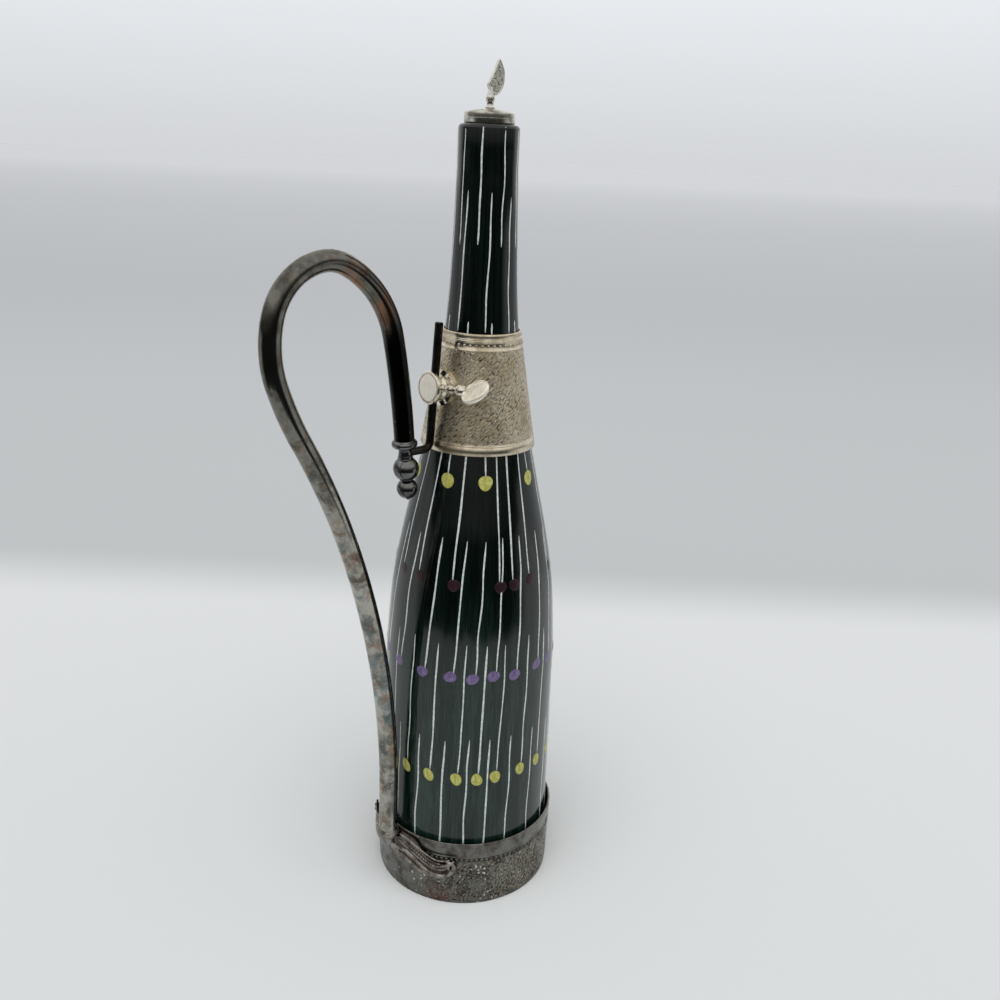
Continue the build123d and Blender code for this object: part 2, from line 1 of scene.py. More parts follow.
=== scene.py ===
"""Looks of the wine pitcher: a painted hock bottle in a plated carrier, with a cork stopper.

All sizes are in millimetres and are turned into metres where a mesh takes them.
Azimuths round the vertical axis are in degrees from the handle's side towards the camera.
"""

import math
import random

import bpy
from mathutils import Matrix, Vector, noise


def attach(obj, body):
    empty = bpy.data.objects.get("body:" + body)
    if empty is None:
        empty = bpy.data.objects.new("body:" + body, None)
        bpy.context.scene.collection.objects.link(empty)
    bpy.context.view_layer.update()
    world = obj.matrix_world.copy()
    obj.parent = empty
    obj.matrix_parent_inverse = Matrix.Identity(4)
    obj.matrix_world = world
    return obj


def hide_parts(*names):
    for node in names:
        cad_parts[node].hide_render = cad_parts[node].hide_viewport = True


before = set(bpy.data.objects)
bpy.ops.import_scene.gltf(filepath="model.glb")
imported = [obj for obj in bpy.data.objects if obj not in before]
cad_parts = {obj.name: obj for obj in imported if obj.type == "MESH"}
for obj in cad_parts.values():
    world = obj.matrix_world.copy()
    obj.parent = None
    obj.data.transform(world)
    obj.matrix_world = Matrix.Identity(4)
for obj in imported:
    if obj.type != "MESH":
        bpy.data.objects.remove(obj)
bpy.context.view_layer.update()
chance = random.Random(7)

MM = 0.001
FULL_TURN = 2 * math.pi

# Points of a mesh that are closer than this are one
WELD = 0.002 * MM

# The least depth of mark in a struck field, which tells it from the plain bands
FIELD_MARK = 0.12


# Shader maths


class Value:
    """A number or colour inside a finish, so that its maths reads as a plain sum."""

    def __init__(self, finish, socket):
        self.finish = finish
        self.socket = socket

    def _with(self, operation, *values):
        return self.finish.node("Math", {"operation": operation}, *values)

    def __add__(self, other):
        return self._with("ADD", self, other)

    def __sub__(self, other):
        return self._with("SUBTRACT", self, other)

    def __mul__(self, other):
        return self._with("MULTIPLY", self, other)

    def __truediv__(self, other):
        return self._with("DIVIDE", self, other)

    def __pow__(self, other):
        return self._with("POWER", self, other)

    def __rsub__(self, other):
        return self._with("SUBTRACT", other, self)

    __radd__ = __add__
    __rmul__ = __mul__


def colour(red, green, blue):
    """A display colour, 0 to 255, as the linear colour of a socket."""
    linear = []
    for part in (red, green, blue):
        share = part / 255
        linear.append(share / 12.92 if share <= 0.04045 else ((share + 0.055) / 1.055) ** 2.4)
    return (*linear, 1.0)


class Finish:
    """One material or world, with the calls that add its nodes."""

    def __init__(self, name, world=False):
        self.data = bpy.data.worlds.new(name) if world else bpy.data.materials.new(name)
        self.data.use_nodes = True
        self.tree = self.data.node_tree
        self.shader = self.tree.nodes.get("Principled BSDF")

    def node(self, kind, settings=None, *values, output=0, **named):
        made = self.tree.nodes.new("ShaderNode" + kind)
        for key, value in (settings or {}).items():
            setattr(made, key, value)
        for index, value in enumerate(values):
            self.feed(made.inputs[index], value)
        for label, value in named.items():
            self.feed(made.inputs[label.replace("_", " ")], value)
        return Value(self, made.outputs[output])

    def feed(self, socket, value):
        if isinstance(value, Value):
            self.tree.links.new(value.socket, socket)
        elif value is not None:
            socket.default_value = value

    def set(self, **named):
        """Values or links of the surface's own sockets."""
        for label, value in named.items():
            self.feed(self.shader.inputs[label.replace("_", " ")], value)

    def place(self, stretch=(1, 1, 1)):
        """The point on the piece in millimetres, stretched along its axes."""
        point = self.node("TexCoord", output=3)
        return self.node("Mapping", {"vector_type": "POINT"}, point, Scale=[1000 * part for part in stretch])

    def parts(self, point):
        made = self.tree.nodes.new("ShaderNodeSeparateXYZ")
        self.feed(made.inputs[0], point)
        return [Value(self, output) for output in made.outputs]

    def join(self, x, y, z):
        return self.node("CombineXYZ", None, x, y, z)

    def noise(self, point, size, detail=3.0, rough=0.55, warp=0.0):
        return self.node(
            "TexNoise", None, Vector=point, Scale=1 / size, Detail=detail, Roughness=rough, Distortion=warp
        )

    def span(self, value, low, high, start=0.0, end=1.0, smooth=True):
        settings = {"interpolation_type": "SMOOTHSTEP" if smooth else "LINEAR"}
        return self.node("MapRange", settings, value, low, high, start, end)

    def mix(self, share, first, second):
        made = self.tree.nodes.new("ShaderNodeMix")
        made.data_type = "RGBA"
        for index, value in ((0, share), (6, first), (7, second)):
            self.feed(made.inputs[index], value)
        return Value(self, made.outputs[2])

    def around(self, point, radius):
        """Distance round the piece's axis, with its join behind, and height."""
        x, y, z = self.parts(point)
        angle = self.node("Math", {"operation": "ARCTAN2"}, y * -1, x * -1)
        return angle * radius, z

    def near(self, point, middle, inner, outer):
        """1 close to a place in millimetres, fading to 0 at the outer distance."""
        x, y, z = (value - start for value, start in zip(self.parts(point), middle))
        return 1 - self.span((x * x + y * y + z * z) ** 0.5, inner, outer)

    def marks(self):
        """Depth of the tool marks that were kept on the mesh, 0 where there are none."""
        return self.node("Attribute", {"attribute_name": "tool_marks"}, output=2)

    def bump(self, height, strength, distance):
        return self.node("Bump", None, Strength=strength, Distance=distance * MM, Height=height)


def wear(finish, point, size, low, high):
    """A mask of worn or stained places."""
    return finish.span(finish.noise(point, size, 6, 0.62, 0.4), low, high)


def metal(name, base, dark, stain, rough, scratch, patch=9.0, stain_share=0.6, matt=0.0, extra=None):
    """Old silver plate: its own colour, darker tarnish in patches, a tint of stain and fine scratches.

    Tarnish is about patch wide, matt is the share that reflects as paint does, and extra adds what
    only one piece shows.
    """
    base, dark, stain = colour(*base), colour(*dark), colour(*stain)
    finish = Finish(name)
    point = finish.place()
    tarnish = wear(finish, point, patch, 0.42, 0.66)
    tint = wear(finish, finish.place((1.3, 0.9, 0.8)), patch * 0.6, 0.5, 0.7)
    grain = finish.noise(finish.place((1, 1, 0.25)), 0.5, 4, 0.7)
    body = finish.mix(tarnish, base, dark)
    body = finish.mix(tint * stain_share, body, stain)
    body = finish.mix(finish.span(grain, 0.35, 0.75) * 0.22, body, dark)
    relief = grain * (0.35 * scratch)
    if extra:
        body, relief = extra(finish, point, body, relief)
    finish.set(
        Base_Color=body,
        Metallic=1.0 - matt,
        Roughness=finish.span(tarnish * 0.6 + grain * 0.4, 0.1, 0.9, *rough, smooth=False),
        Normal=finish.bump(relief, 1.0, 1.0),
    )
    return finish


def strikes(finish, point, radius, tilt, width, length):
    """Fine slanting tool strokes round a cone or cylinder, as a noise that is high in a stroke."""
    arc, height = finish.around(point, radius)
    lean_x, lean_y = math.cos(math.radians(tilt)), math.sin(math.radians(tilt))
    along = (arc * lean_x + height * lean_y) / length
    across = (height * lean_x - arc * lean_y) / width
    return finish.noise(finish.join(along, across, 0.0), 1.0, 3, 0.6, 0.3)


def collar_strokes(finish, point, body, relief):
    """Collar strokes between the bands: painted shade in pits and deep marks, painted highlight on worn
    crests.
    """
    marks = finish.marks()
    field = finish.span(marks, 0.0, FIELD_MARK)
    stroke = strikes(finish, point, radius=20.5, tilt=48, width=0.62, length=1.7)
    pits = finish.span(stroke, 0.53, 0.64) * field
    lit_worn_crests = finish.span(1 - stroke, 0.5, 0.62) * field
    # Lighter crests are painted highlight with some wear; darker deep marks and pits are painted shade
    body = finish.mix(lit_worn_crests * 0.6, body, colour(232, 214, 180))
    body = finish.mix(finish.span(marks, 0.4, 0.95) * 0.5, body, colour(122, 98, 68))
    body = finish.mix(pits * 0.9, body, colour(62, 48, 32))
    return body, relief - stroke * field * 0.34


# Places with a look of their own, as (centre, distance of full strength, distance of none)
# Painted highlight on the crests at the cup's front
CUP_HIGHLIT_FRONT = ((8.0, -41.0, 14.0), 8.0, 34.0)
CUP_RUSTY_HEEL = ((-34.7, -23.6, 2.0), 1.0, 11.0)
CUP_SPECKS = [
    (0.15, ((-20.5, -36.6, 18.6), 2.0, 7.5)),
    (0.1, ((-19.0, -37.4, 4.0), 1.0, 7.0)),
    (0.07, ((-38.0, -17.0, 9.0), 1.0, 12.0)),
]


def cup_hammering(finish, point, body, relief):
    """Hammered wall: painted shade in hollows, painted highlight on worn crests, a rusty heel and white
    specks.
    """
    marks = finish.marks()
    field = finish.span(marks, 0.0, FIELD_MARK)
    grain = strikes(finish, point, radius=42.0, tilt=60, width=0.85, length=1.25)
    pits = finish.span(grain, 0.5, 0.64) * field
    lit_worn_crests = finish.span(1 - grain, 0.54, 0.66) * field
    # Lighter crests, warmer and brighter at the front, are painted highlight with some wear
    body = finish.mix(lit_worn_crests * 0.7, body, colour(178, 168, 144))
    body = finish.mix(finish.near(point, *CUP_HIGHLIT_FRONT) * lit_worn_crests * 0.7, body, colour(212, 192, 146))
    # Darker deep marks, the band behind the beads and the pits are painted shade
    body = finish.mix(finish.span(marks, 0.3, 0.9) * 0.75, body, colour(48, 42, 40))
    body = finish.mix(pits * 0.9, body, colour(30, 25, 25))
    body = finish.mix(finish.near(point, *CUP_RUSTY_HEEL) * 0.4, body, colour(112, 62, 58))
    spotty = sum(finish.near(point, *place) * share for share, place in CUP_SPECKS)
    _, _, height = finish.parts(point)
    below_beads = 1 - finish.span(height, 21, 24)
    specks = finish.span(finish.noise(point, 1.35, 0, 0.5) + spotty, 0.80, 0.84) * below_beads
    body = finish.mix(specks * 0.9, body, colour(236, 234, 220))
    return body, relief - grain * field * 0.3


HANDLE_WARM_PATCH = ((-61.0, 0.0, 276.0), 8.0, 24.0)


def handle_tarnish(finish, point, body, relief):
    """Copper and blue-green bloom low on the tube, a dark top with a warm patch, and a black inner leg."""
    reach, _, height = finish.parts(point)
    low = 1 - finish.span(height, 150, 260)
    warm = finish.near(point, *HANDLE_WARM_PATCH)
    inner_leg = finish.span(reach, -66, -56) * finish.span(height, 190, 215) * (1 - warm * 0.8)
    bloom = wear(finish, finish.place((0.8, 1.2, 0.5)), 7.0, 0.5, 0.62)
    copper = wear(finish, finish.place((1.1, 0.7, 0.6)), 4.5, 0.56, 0.66)
    body = finish.mix(bloom * (low * 0.55 + 0.12), body, colour(92, 112, 116))
    body = finish.mix((1 - low) * 0.72, body, colour(58, 58, 54))
    body = finish.mix(copper * (low * 0.4 + 0.1) + warm * bloom * 0.5, body, colour(150, 104, 70))
    body = finish.mix(inner_leg * 0.97, body, colour(16, 18, 18))
    specks = finish.span(finish.noise(point, 0.9, 2, 0.5), 0.66, 0.70)
    return finish.mix(specks * low * 0.7, body, colour(200, 192, 168)), relief


def cast_hollow_shade_and_grain(finish, point, body, relief):
    """Painted shade in the hollows between the casting's strands, and its sandy skin."""
    hollow_shade = finish.span(finish.marks(), 0.15, 0.75)
    grain = finish.noise(point, 0.7, 3, 0.6)
    return finish.mix(hollow_shade * 0.9, body, colour(46, 30, 30)), relief + grain * 0.16


def wing_hollow_shade(finish, point, body, relief):
    """Warm painted shade between the pebbles of the thumbscrew's wing."""
    hollow_shade = finish.span(finish.marks(), 0.3, 1.0)
    return finish.mix(hollow_shade * 0.35, body, colour(170, 154, 120)), relief


def leaf_hollow_shade(finish, point, body, relief):
    """Painted shade in the deepest places between the pebbles of the stopper's leaf."""
    hollow_shade = finish.span(finish.marks(), 0.84, 1.0)
    return finish.mix(hollow_shade * 0.8, body, colour(62, 60, 54)), relief


def glass_paint():
    """Black-green paint brushed down in fine streaks under gloss, with a painted floor reflection low down."""
    finish = Finish("brushed_bottle_paint")
    point = finish.place()
    arc, height = finish.around(point, 38.0)
    fine = finish.noise(finish.join(arc, height * 0.035, 0.0), 0.55, 4, 0.65)
    broad = finish.noise(finish.join(arc, height * 0.05, 4.0), 4.5, 3, 0.6)
    streak = finish.span(fine * 0.6 + broad * 0.4, 0.42, 0.64)
    # Below about 100 to 160 mm the body is lighter and greener: a painted reflection of the floor, streaked by
    # the brush
    painted_floor_reflection = 1 - finish.span(height, 98, 160)
    body = finish.mix(streak, colour(0, 4, 3), colour(10, 22, 17))
    lower = finish.mix(streak, colour(8, 26, 22), colour(44, 66, 56))
    body = finish.mix(painted_floor_reflection * 0.85, body, lower)
    body = finish.mix(finish.span(broad, 0.5, 0.72) * 0.35, body, colour(4, 26, 22))
    finish.set(
        Base_Color=body,
        Roughness=finish.span(fine, 0.2, 0.8, 0.05, 0.14, smooth=False),
        IOR=1.52,
        Normal=finish.bump(fine, 0.25, 0.012),
    )
    return finish


def enamel(name, middle, edge):
    """Thick brushed enamel, darker where the brush left less and where one stroke lies over another."""
    middle, edge = colour(*middle), colour(*edge)
    finish = Finish(name)
    brush = finish.noise(finish.place((1, 1, 0.5)), 0.8, 4, 0.6)
    body = finish.mix(finish.span(brush, 0.36, 0.68), edge, middle)
    stroke_edge = [part * 0.55 for part in edge[:3]] + [1.0]
    finish.set(
        Base_Color=finish.mix(finish.marks() * 0.7, body, stroke_edge),
        Roughness=finish.span(brush, 0.2, 0.8, 0.3, 0.45, smooth=False),
        Normal=finish.bump(brush, 0.3, 0.03),
    )
    return finish


def cork_finish():
    finish = Finish("cork")
    point = finish.place()
    pits = finish.span(finish.noise(point, 1.1, 5, 0.7), 0.55, 0.68)
    grain = finish.noise(point, 0.4, 4, 0.6)
    body = finish.mix(grain, colour(186, 142, 96), colour(150, 106, 66))
    finish.set(
        Base_Color=finish.mix(pits, body, colour(84, 54, 34)),
        Roughness=0.85,
        Normal=finish.bump(1 - pits, 0.6, 0.15),
    )
    return finish


FINISHES = {
    "bottle": glass_paint(),
    "cork": cork_finish(),
    "white": enamel("white_enamel", (232, 234, 230), (186, 196, 194)),
    "yellow": enamel("yellow_enamel", (204, 205, 126), (168, 166, 66)),
    "purple": enamel("purple_enamel", (132, 114, 156), (102, 86, 130)),
    "red": enamel("red_enamel", (50, 6, 21), (28, 2, 11)),
    "collar": metal(
        "collar_plate", (216, 206, 186), (180, 166, 140), (204, 182, 146),
        rough=(0.24, 0.38), scratch=0.06, extra=collar_strokes,
    ),
    "cup": metal(
        "cup_plate", (132, 132, 126), (84, 80, 76), (116, 98, 90),
        rough=(0.24, 0.42), scratch=0.06, patch=7.0, extra=cup_hammering,
    ),
    "cast": metal(
        "leaf_casting", (170, 166, 158), (104, 94, 88), (132, 100, 88),
        rough=(0.24, 0.4), scratch=0.08, patch=3.0, extra=cast_hollow_shade_and_grain,
    ),
    "handle": metal(
        "handle_plate", (186, 184, 176), (104, 98, 90), (146, 112, 96),
        rough=(0.07, 0.24), scratch=0.03, patch=8.0, extra=handle_tarnish,
    ),
    "rod": metal(
        "blackened_rod", (58, 58, 56), (24, 24, 24), (70, 58, 48),
        rough=(0.26, 0.45), scratch=0.05,
    ),
    "finial": metal(
        "finial_plate", (120, 120, 120), (58, 60, 62), (100, 92, 82),
        rough=(0.1, 0.24), scratch=0.03,
    ),
    "silver": metal(
        "polished_plate", (232, 226, 212), (190, 180, 160), (206, 190, 164),
        rough=(0.12, 0.26), scratch=0.03, patch=5.0, stain_share=0.4,
    ),
    "disc": metal(
        "brushed_disc", (248, 243, 231), (240, 234, 220), (236, 226, 208),
        rough=(0.36, 0.46), scratch=0.04, patch=3.0, stain_share=0.3, matt=0.8,
    ),
    "pearl": metal(
        "pebbled_plate", (252, 247, 234), (222, 212, 190), (228, 212, 180),
        rough=(0.22, 0.34), scratch=0.05, patch=2.5, stain_share=0.4, matt=0.5, extra=wing_hollow_shade,
    ),
    "leaf": metal(
        "pebbled_leaf", (226, 225, 216), (190, 187, 178), (206, 198, 180),
        rough=(0.2, 0.34), scratch=0.05, patch=2.5, stain_share=0.3, matt=0.45, extra=leaf_hollow_shade,
    ),
    "stopper": metal(
        "stopper_plate", (206, 204, 196), (150, 146, 136), (180, 168, 146),
        rough=(0.16, 0.32), scratch=0.03, patch=5.0, stain_share=0.4,
    ),
    "steel": metal(
        "inner_steel", (150, 148, 144), (96, 94, 90), (110, 90, 74),
        rough=(0.3, 0.45), scratch=0.04,
    ),
}


# Modelling


def nothing_selected():
    if bpy.context.mode != "OBJECT":
        bpy.ops.object.mode_set(mode="OBJECT")
    bpy.ops.object.select_all(action="DESELECT")


def chosen(*pieces):
    """Selects these pieces alone, with the first of them active."""
    nothing_selected()
    for piece in pieces:
        piece.select_set(True)
    bpy.context.view_layer.objects.active = pieces[0]


def edit_whole():
    """Opens the active mesh with all of it selected."""
    bpy.ops.object.mode_set(mode="EDIT")
    bpy.ops.mesh.select_all(action="SELECT")


def finished(piece, name, body, slot, finish, *replaced, angle=35):
    """Names and smooths a piece, gives it its finish, and hands it to the body that it moves with."""
    piece.name = name
    piece.data.name = name
    piece.data.materials.clear()
    piece.data.materials.append(FINISHES[finish].data)
    chosen(piece)
    bpy.ops.object.shade_smooth_by_angle(angle=math.radians(angle))
    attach(piece, body)
    if replaced:
        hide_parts(*replaced)


def first_point(place):
    """A new mesh of one vertex, left in edit mode."""
    nothing_selected()
    bpy.ops.mesh.primitive_circle_add(vertices=3, radius=MM, location=(0, 0, 0))
    piece = bpy.context.object
    edit_whole()
    bpy.ops.mesh.merge(type="CENTER")
    bpy.ops.transform.translate(value=Vector(place) * MM)
    return piece


def turned(profile, steps):
    """Spins a half section, given as (radius, height), about the vertical axis."""
    piece = first_point((profile[0][0], 0, profile[0][1]))
    for (radius, height), (next_radius, next_height) in zip(profile, profile[1:]):
        step = Vector((next_radius - radius, 0, next_height - height)) * MM
        bpy.ops.mesh.extrude_region_move(TRANSFORM_OT_translate={"value": step})
    bpy.ops.mesh.select_all(action="SELECT")
    bpy.ops.mesh.spin(steps=steps, angle=FULL_TURN, center=(0, 0, 0), axis=(0, 0, 1))
    bpy.ops.mesh.select_all(action="SELECT")
    bpy.ops.mesh.remove_doubles(threshold=WELD)
    bpy.ops.mesh.normals_make_consistent(inside=False)
    bpy.ops.object.mode_set(mode="OBJECT")
    return piece


def moved(piece, origin, z_axis=(0, 0, 1), x_axis=None):
    """Sets a piece that was made about the vertical axis onto its own place and direction."""
    z_axis = Vector(z_axis).normalized()
    x_axis = Vector(x_axis or z_axis.orthogonal())
    x_axis = (x_axis - z_axis * x_axis.dot(z_axis)).normalized()
    turn = Matrix((x_axis, z_axis.cross(x_axis), z_axis)).transposed().to_4x4()
    chosen(piece)
    piece.matrix_world = Matrix.Translation(Vector(origin) * MM) @ turn
    bpy.ops.object.transform_apply(location=True, rotation=True, scale=True)
    return piece


def joined(pieces):
    chosen(*pieces)
    bpy.ops.object.join()
    return bpy.context.view_layer.objects.active


def curve_through(points, count):
    """Points of a smooth line through the given ones, in count steps from each to the next."""
    line = []
    ends = [points[0], *points, points[-1]]
    for a, b, c, d in zip(ends, ends[1:], ends[2:], ends[3:]):
        for step in range(count):
            t = step / count
            line.append(tuple(
                0.5 * (
                    2 * q + (r - p) * t + (2 * p - 5 * q + 4 * r - s) * t * t + (3 * q - p - 3 * r + s) * t**3
                )
                for p, q, r, s in zip(a, b, c, d)
            ))
    return line + [tuple(points[-1])]


def straight(start, end, count):
    """Points from the start up to the end, which is left out."""
    return [tuple(a + (b - a) * step / count for a, b in zip(start, end)) for step in range(count)]


def shaped(piece, rule):
    """Moves every vertex by a rule on its place in millimetres."""
    for vertex in piece.data.vertices:
        vertex.co = rule(vertex.co / MM) * MM
    piece.data.update()
    return piece


def struck(piece, rule):
    """Moves every vertex by a rule that also says how deep in a tool mark it lies, and keeps both."""
    marks = piece.data.attributes.new("tool_marks", "FLOAT", "POINT")
    for vertex in piece.data.vertices:
        place, depth = rule(vertex.co / MM)
        vertex.co = place * MM
        marks.data[vertex.index].value = depth
    piece.data.update()
    return piece


def strand(places, size):
    """A round strand through places given as (point, share of the size)."""
    nothing_selected()
    bpy.ops.curve.primitive_nurbs_path_add(location=(0, 0, 0))
    piece = bpy.context.object
    line = piece.data.splines[0]
    line.points.add(len(places) - len(line.points))
    for point, (place, share) in zip(line.points, places):
        point.co = (*(Vector(place) * MM), 1)
        point.radius = share
    line.order_u = 3
    line.use_endpoint_u = True
    line.resolution_u = 6
    piece.data.bevel_depth = size * MM
    piece.data.bevel_resolution = 2
    piece.data.use_fill_caps = True
    bpy.ops.object.convert(target="MESH")
    return bpy.context.object


def remeshed(piece, voxel, softening):
    """Melts overlapping parts into one skin of small voxels, and softens it."""
    chosen(piece)
    cover = piece.modifiers.new("skin", "REMESH")
    cover.mode = "VOXEL"
    cover.voxel_size = voxel * MM
    ease = piece.modifiers.new("ease", "SMOOTH")
    ease.iterations = softening
    for change in (cover, ease):
        bpy.ops.object.modifier_apply(modifier=change.name)
    return piece


# Bottle

# Heights are counted from the bottle's own foot, and sections are (radius, height)
BOTTLE_BASE = 1.5
GLASS = 3.4
BODY_FOOT = (39.75, 5.0)
SHOULDER = (38.6, 114.5)
NECK_FOOT = (12.25, 322.5)
# Points between shoulder and neck, in shares of the taper's rise and of its drop in radius
TAPER_CURVE = [(0.154, 0.095), (0.269, 0.25), (0.385, 0.452), (0.582, 0.778), (0.702, 0.882), (0.817, 0.947)]

taper_rise, taper_drop = NECK_FOOT[1] - SHOULDER[1], SHOULDER[0] - NECK_FOOT[0]
taper = [SHOULDER]
taper += [(SHOULDER[0] - drop * taper_drop, SHOULDER[1] + rise * taper_rise) for rise, drop in TAPER_CURVE]
outside = [(31.0, 0), (34.75, 0), (36.7, 0.38), (38.3, 1.46), (39.37, 3.09)]
outside += straight(BODY_FOOT, SHOULDER, 24)
outside += curve_through([*taper, NECK_FOOT], 9)
outside += [(12.25, 330.0), (12.25, 338.0), (12.13, 338.6), (11.78, 339.13), (11.26, 339.48), (10.65, 339.6)]
inside = [(9.9, 339.5), (9.4, 339.1), (9.3, 338.4), (9.3, 320.0), (9.3, 299.6)]
inside += [(radius - GLASS, height) for radius, height in reversed(curve_through(taper, 5))]
inside += [(36.3, 60.0), (36.35, 10.0), (34.6, 5.8), (30.35, 4.0), (14.0, 8.0), (0, 11.0)]
punt = [(0, 7.0), (8.0, 6.55), (16.0, 5.2), (24.0, 2.9), (30.0, 0.6), (31.0, 0)]
section = [(radius, height + BOTTLE_BASE) for radius, height in outside + inside + punt]
finished(turned(section, 160), "bottle_glass", "bottle", "bottle_glass", "bottle", "bottle", angle=40)

# The painted skin, as (height above the table, radius)
OUTLINE = [(height + BOTTLE_BASE, radius) for radius, height in outside if height >= BODY_FOOT[1]]


def bottle_radius(height):
    for (low, radius), (high, next_radius) in zip(OUTLINE, OUTLINE[1:]):
        if low <= height <= high:
            return radius + (next_radius - radius) * (height - low) / (high - low)
    return OUTLINE[-1][1] if height > OUTLINE[-1][0] else OUTLINE[0][1]


def on_bottle(azimuth, height, proud):
    """A point raised off the bottle's skin by a distance, at a right angle to it."""
    lean = math.atan(bottle_radius(height - 0.5) - bottle_radius(height + 0.5))
    radius = bottle_radius(height) + proud * math.cos(lean)
    turn = math.radians(azimuth)
    return Vector((-radius * math.cos(turn), -radius * math.sin(turn), height + proud * math.sin(lean)))


# How far enamel stands off the glass, and how far its edge is sunk into it
LINE_CROWN = 0.13
DOT_CROWN = 0.2
SUNK_EDGE = 0.02


def painted_line(top, bottom, width, fine_start):
    """One enamel line down the bottle, from (azimuth, height) to (azimuth, height), a little unsteady."""
    length = top[1] - bottom[1]
    rows = max(6, int(length / 2.5))
    nothing_selected()
    bpy.ops.mesh.primitive_grid_add(x_subdivisions=4, y_subdivisions=rows, size=2)
    piece = bpy.context.object
    sway = [chance.uniform(-0.35, 0.35) for _ in range(3)]
    swell = chance.uniform(0.85, 1.2)

    def wrap(point):
        across = max(-1.0, min(1.0, point.x * MM))
        share = (1 - point.y * MM) / 2
        height = top[1] - share * length
        drift = sum(swing * math.sin(share * waves) for swing, waves in zip(sway, (5, 11, 2.6)))
        drift *= min(1.0, length / 60) * min(1, share * 4, (1 - share) * 4)
        taper = min(1.0, 0.35 + share * 9) if fine_start else 1.0
        taper *= min(1.0, 0.45 + (1 - share) * 12)
        half = width / 2 * taper * swell * (1 + 0.12 * math.sin(share * 17 + sway[0] * 9))
        azimuth = top[0] + (bottom[0] - top[0]) * share
        azimuth += math.degrees((across * half + drift) / bottle_radius(height))
        return on_bottle(azimuth, height, LINE_CROWN * taper * (1 - across * across) - SUNK_EDGE)

    return shaped(piece, wrap)


def painted_dot(azimuth, height, wide, tall, lean):
    """One round dab of enamel, crowned, with an uneven edge and a darker stroke down it."""
    nothing_selected()
    bpy.ops.mesh.primitive_circle_add(vertices=28, radius=1.0, fill_type="TRIFAN")
    piece = bpy.context.object
    edit_whole()
    bpy.ops.mesh.subdivide(number_cuts=3)
    bpy.ops.object.mode_set(mode="OBJECT")
    lobes = [chance.uniform(-0.05, 0.05) for _ in range(3)]

    def wrap(point):
        x, y = point.x * MM, point.y * MM
        reach = min(1.0, math.hypot(x, y))
        turn = math.atan2(y, x)
        edge = 1 + lobes[0] * math.sin(turn + 1)
        edge += lobes[1] * math.sin(2 * turn) + lobes[2] * math.sin(3 * turn)
        across = x * edge * wide / 2 + y * lean
        spot = height + y * edge * tall / 2
        crown = DOT_CROWN * (1 - reach**4) + 0.05 * math.sin(reach * 9) * (1 - reach) - SUNK_EDGE
        place = on_bottle(azimuth + math.degrees(across / bottle_radius(spot)), spot, crown)
        stroke = max(0.0, 1 - abs(x + 0.1) / 0.28) * (1.0 if y > -0.35 else 0.4)
        rim = min(1.0, max(0.0, reach - 0.78) / 0.2)
        return place, max(stroke * 0.8, rim * 0.7)

    return struck(piece, wrap)


def ring_of(seen, spacing):
    """The azimuths of one row: those in the photographed view, then more behind at about this spacing."""
    gap = seen[0] + 360 - seen[-1]
    parts = max(1, round(gap / spacing))
    behind = [seen[-1] + gap * step / parts + chance.uniform(-2.5, 2.5) for step in range(1, parts)]
    return [*seen, *behind]


# Rows of the painted pattern: azimuths seen in front, spacing behind, upper and lower end, and the drift
# of a line's azimuth on its way down
ROWS = {
    "neck_upper": ([0, 37, 79], 40, 340.0, 295.5, -2),
    "neck_lower": ([11, 56, 97], 40, 315.5, 261.0, -4),
    "under_collar": ([27, 64, 111], 42, 266.5, 258.5, 0),
    "to_yellow": ([-27, 20.5, 57.5, 108], 44, 246.0, 203.0, 0),
    "to_red": ([-11, 8, 36, 69.5, 80, 95], 30, 241.0, 160.5, -3),
    "to_purple": ([-20, -1, 21, 41, 55.5, 69, 84, 103.5], 17, 177.5, 119.0, -5),
    "to_low_yellow": ([-9, 7.5, 26, 45, 58.5, 71, 90, 107], 18, 132.3, 69.5, -3),
    "to_cup": ([-3, 15, 33.5, 49.5, 63, 78, 97], 17, 85.5, 27.0, -2),
}
BLUNT_ROWS = ("neck_upper", "to_yellow", "to_red")
# The dab under each line of a row: colour, azimuth and height from the line's end, width, height and lean
DABS = {
    "to_yellow": ("yellow", 0.0, -2.4, 6.2, 6.4, 0.0),
    "to_red": ("red", 1.0, -2.4, 5.6, 5.4, 0.0),
    "to_purple": ("purple", -2.0, -2.0, 5.8, 5.2, 0.4),
    "to_low_yellow": ("yellow", -1.0, -3.2, 5.2, 6.4, -0.5),
}
lines = []
dots = {"yellow": [], "purple": [], "red": []}
for row, (seen, spacing, top, bottom, drift) in ROWS.items():
    width = 0.62 if row.startswith("neck") else 0.74
    for azimuth in ring_of(seen, spacing):
        start = (azimuth - drift / 2, top + chance.uniform(-1.2, 1.2))
        end = (azimuth + drift / 2, bottom + chance.uniform(-0.8, 0.8))
        lines.append(painted_line(start, end, width, row not in BLUNT_ROWS))
        if row in DABS:
            tone, aside, below, wide, tall, lean = DABS[row]
            dots[tone].append(painted_dot(end[0] + aside, end[1] + below, wide, tall, lean))
finished(joined(lines), "painted_lines", "bottle", "bottle_glass", "white", angle=60)
for tone, row in dots.items():
    finished(joined(row), f"painted_dots_{tone}", "bottle", "bottle_glass", tone, angle=60)


# Cup: a hammered wall, a row of beads, a groove line and a plain rim band

CUP_HEIGHT = 33.4
CUP_BASE = 41.1
CUP_FLARE = 0.6
CUP_RIM = 41.9
CUP_INSIDE = CUP_BASE - 0.9
# Heights of the hammered field's foot, of its top, and of the groove above the beads
HAMMERED_FOOT, HAMMERED_TOP, GROOVE_TOP = 0.5, 23.7, 25.5


def cup_radius(height):
    return CUP_BASE + CUP_FLARE * height / CUP_HEIGHT


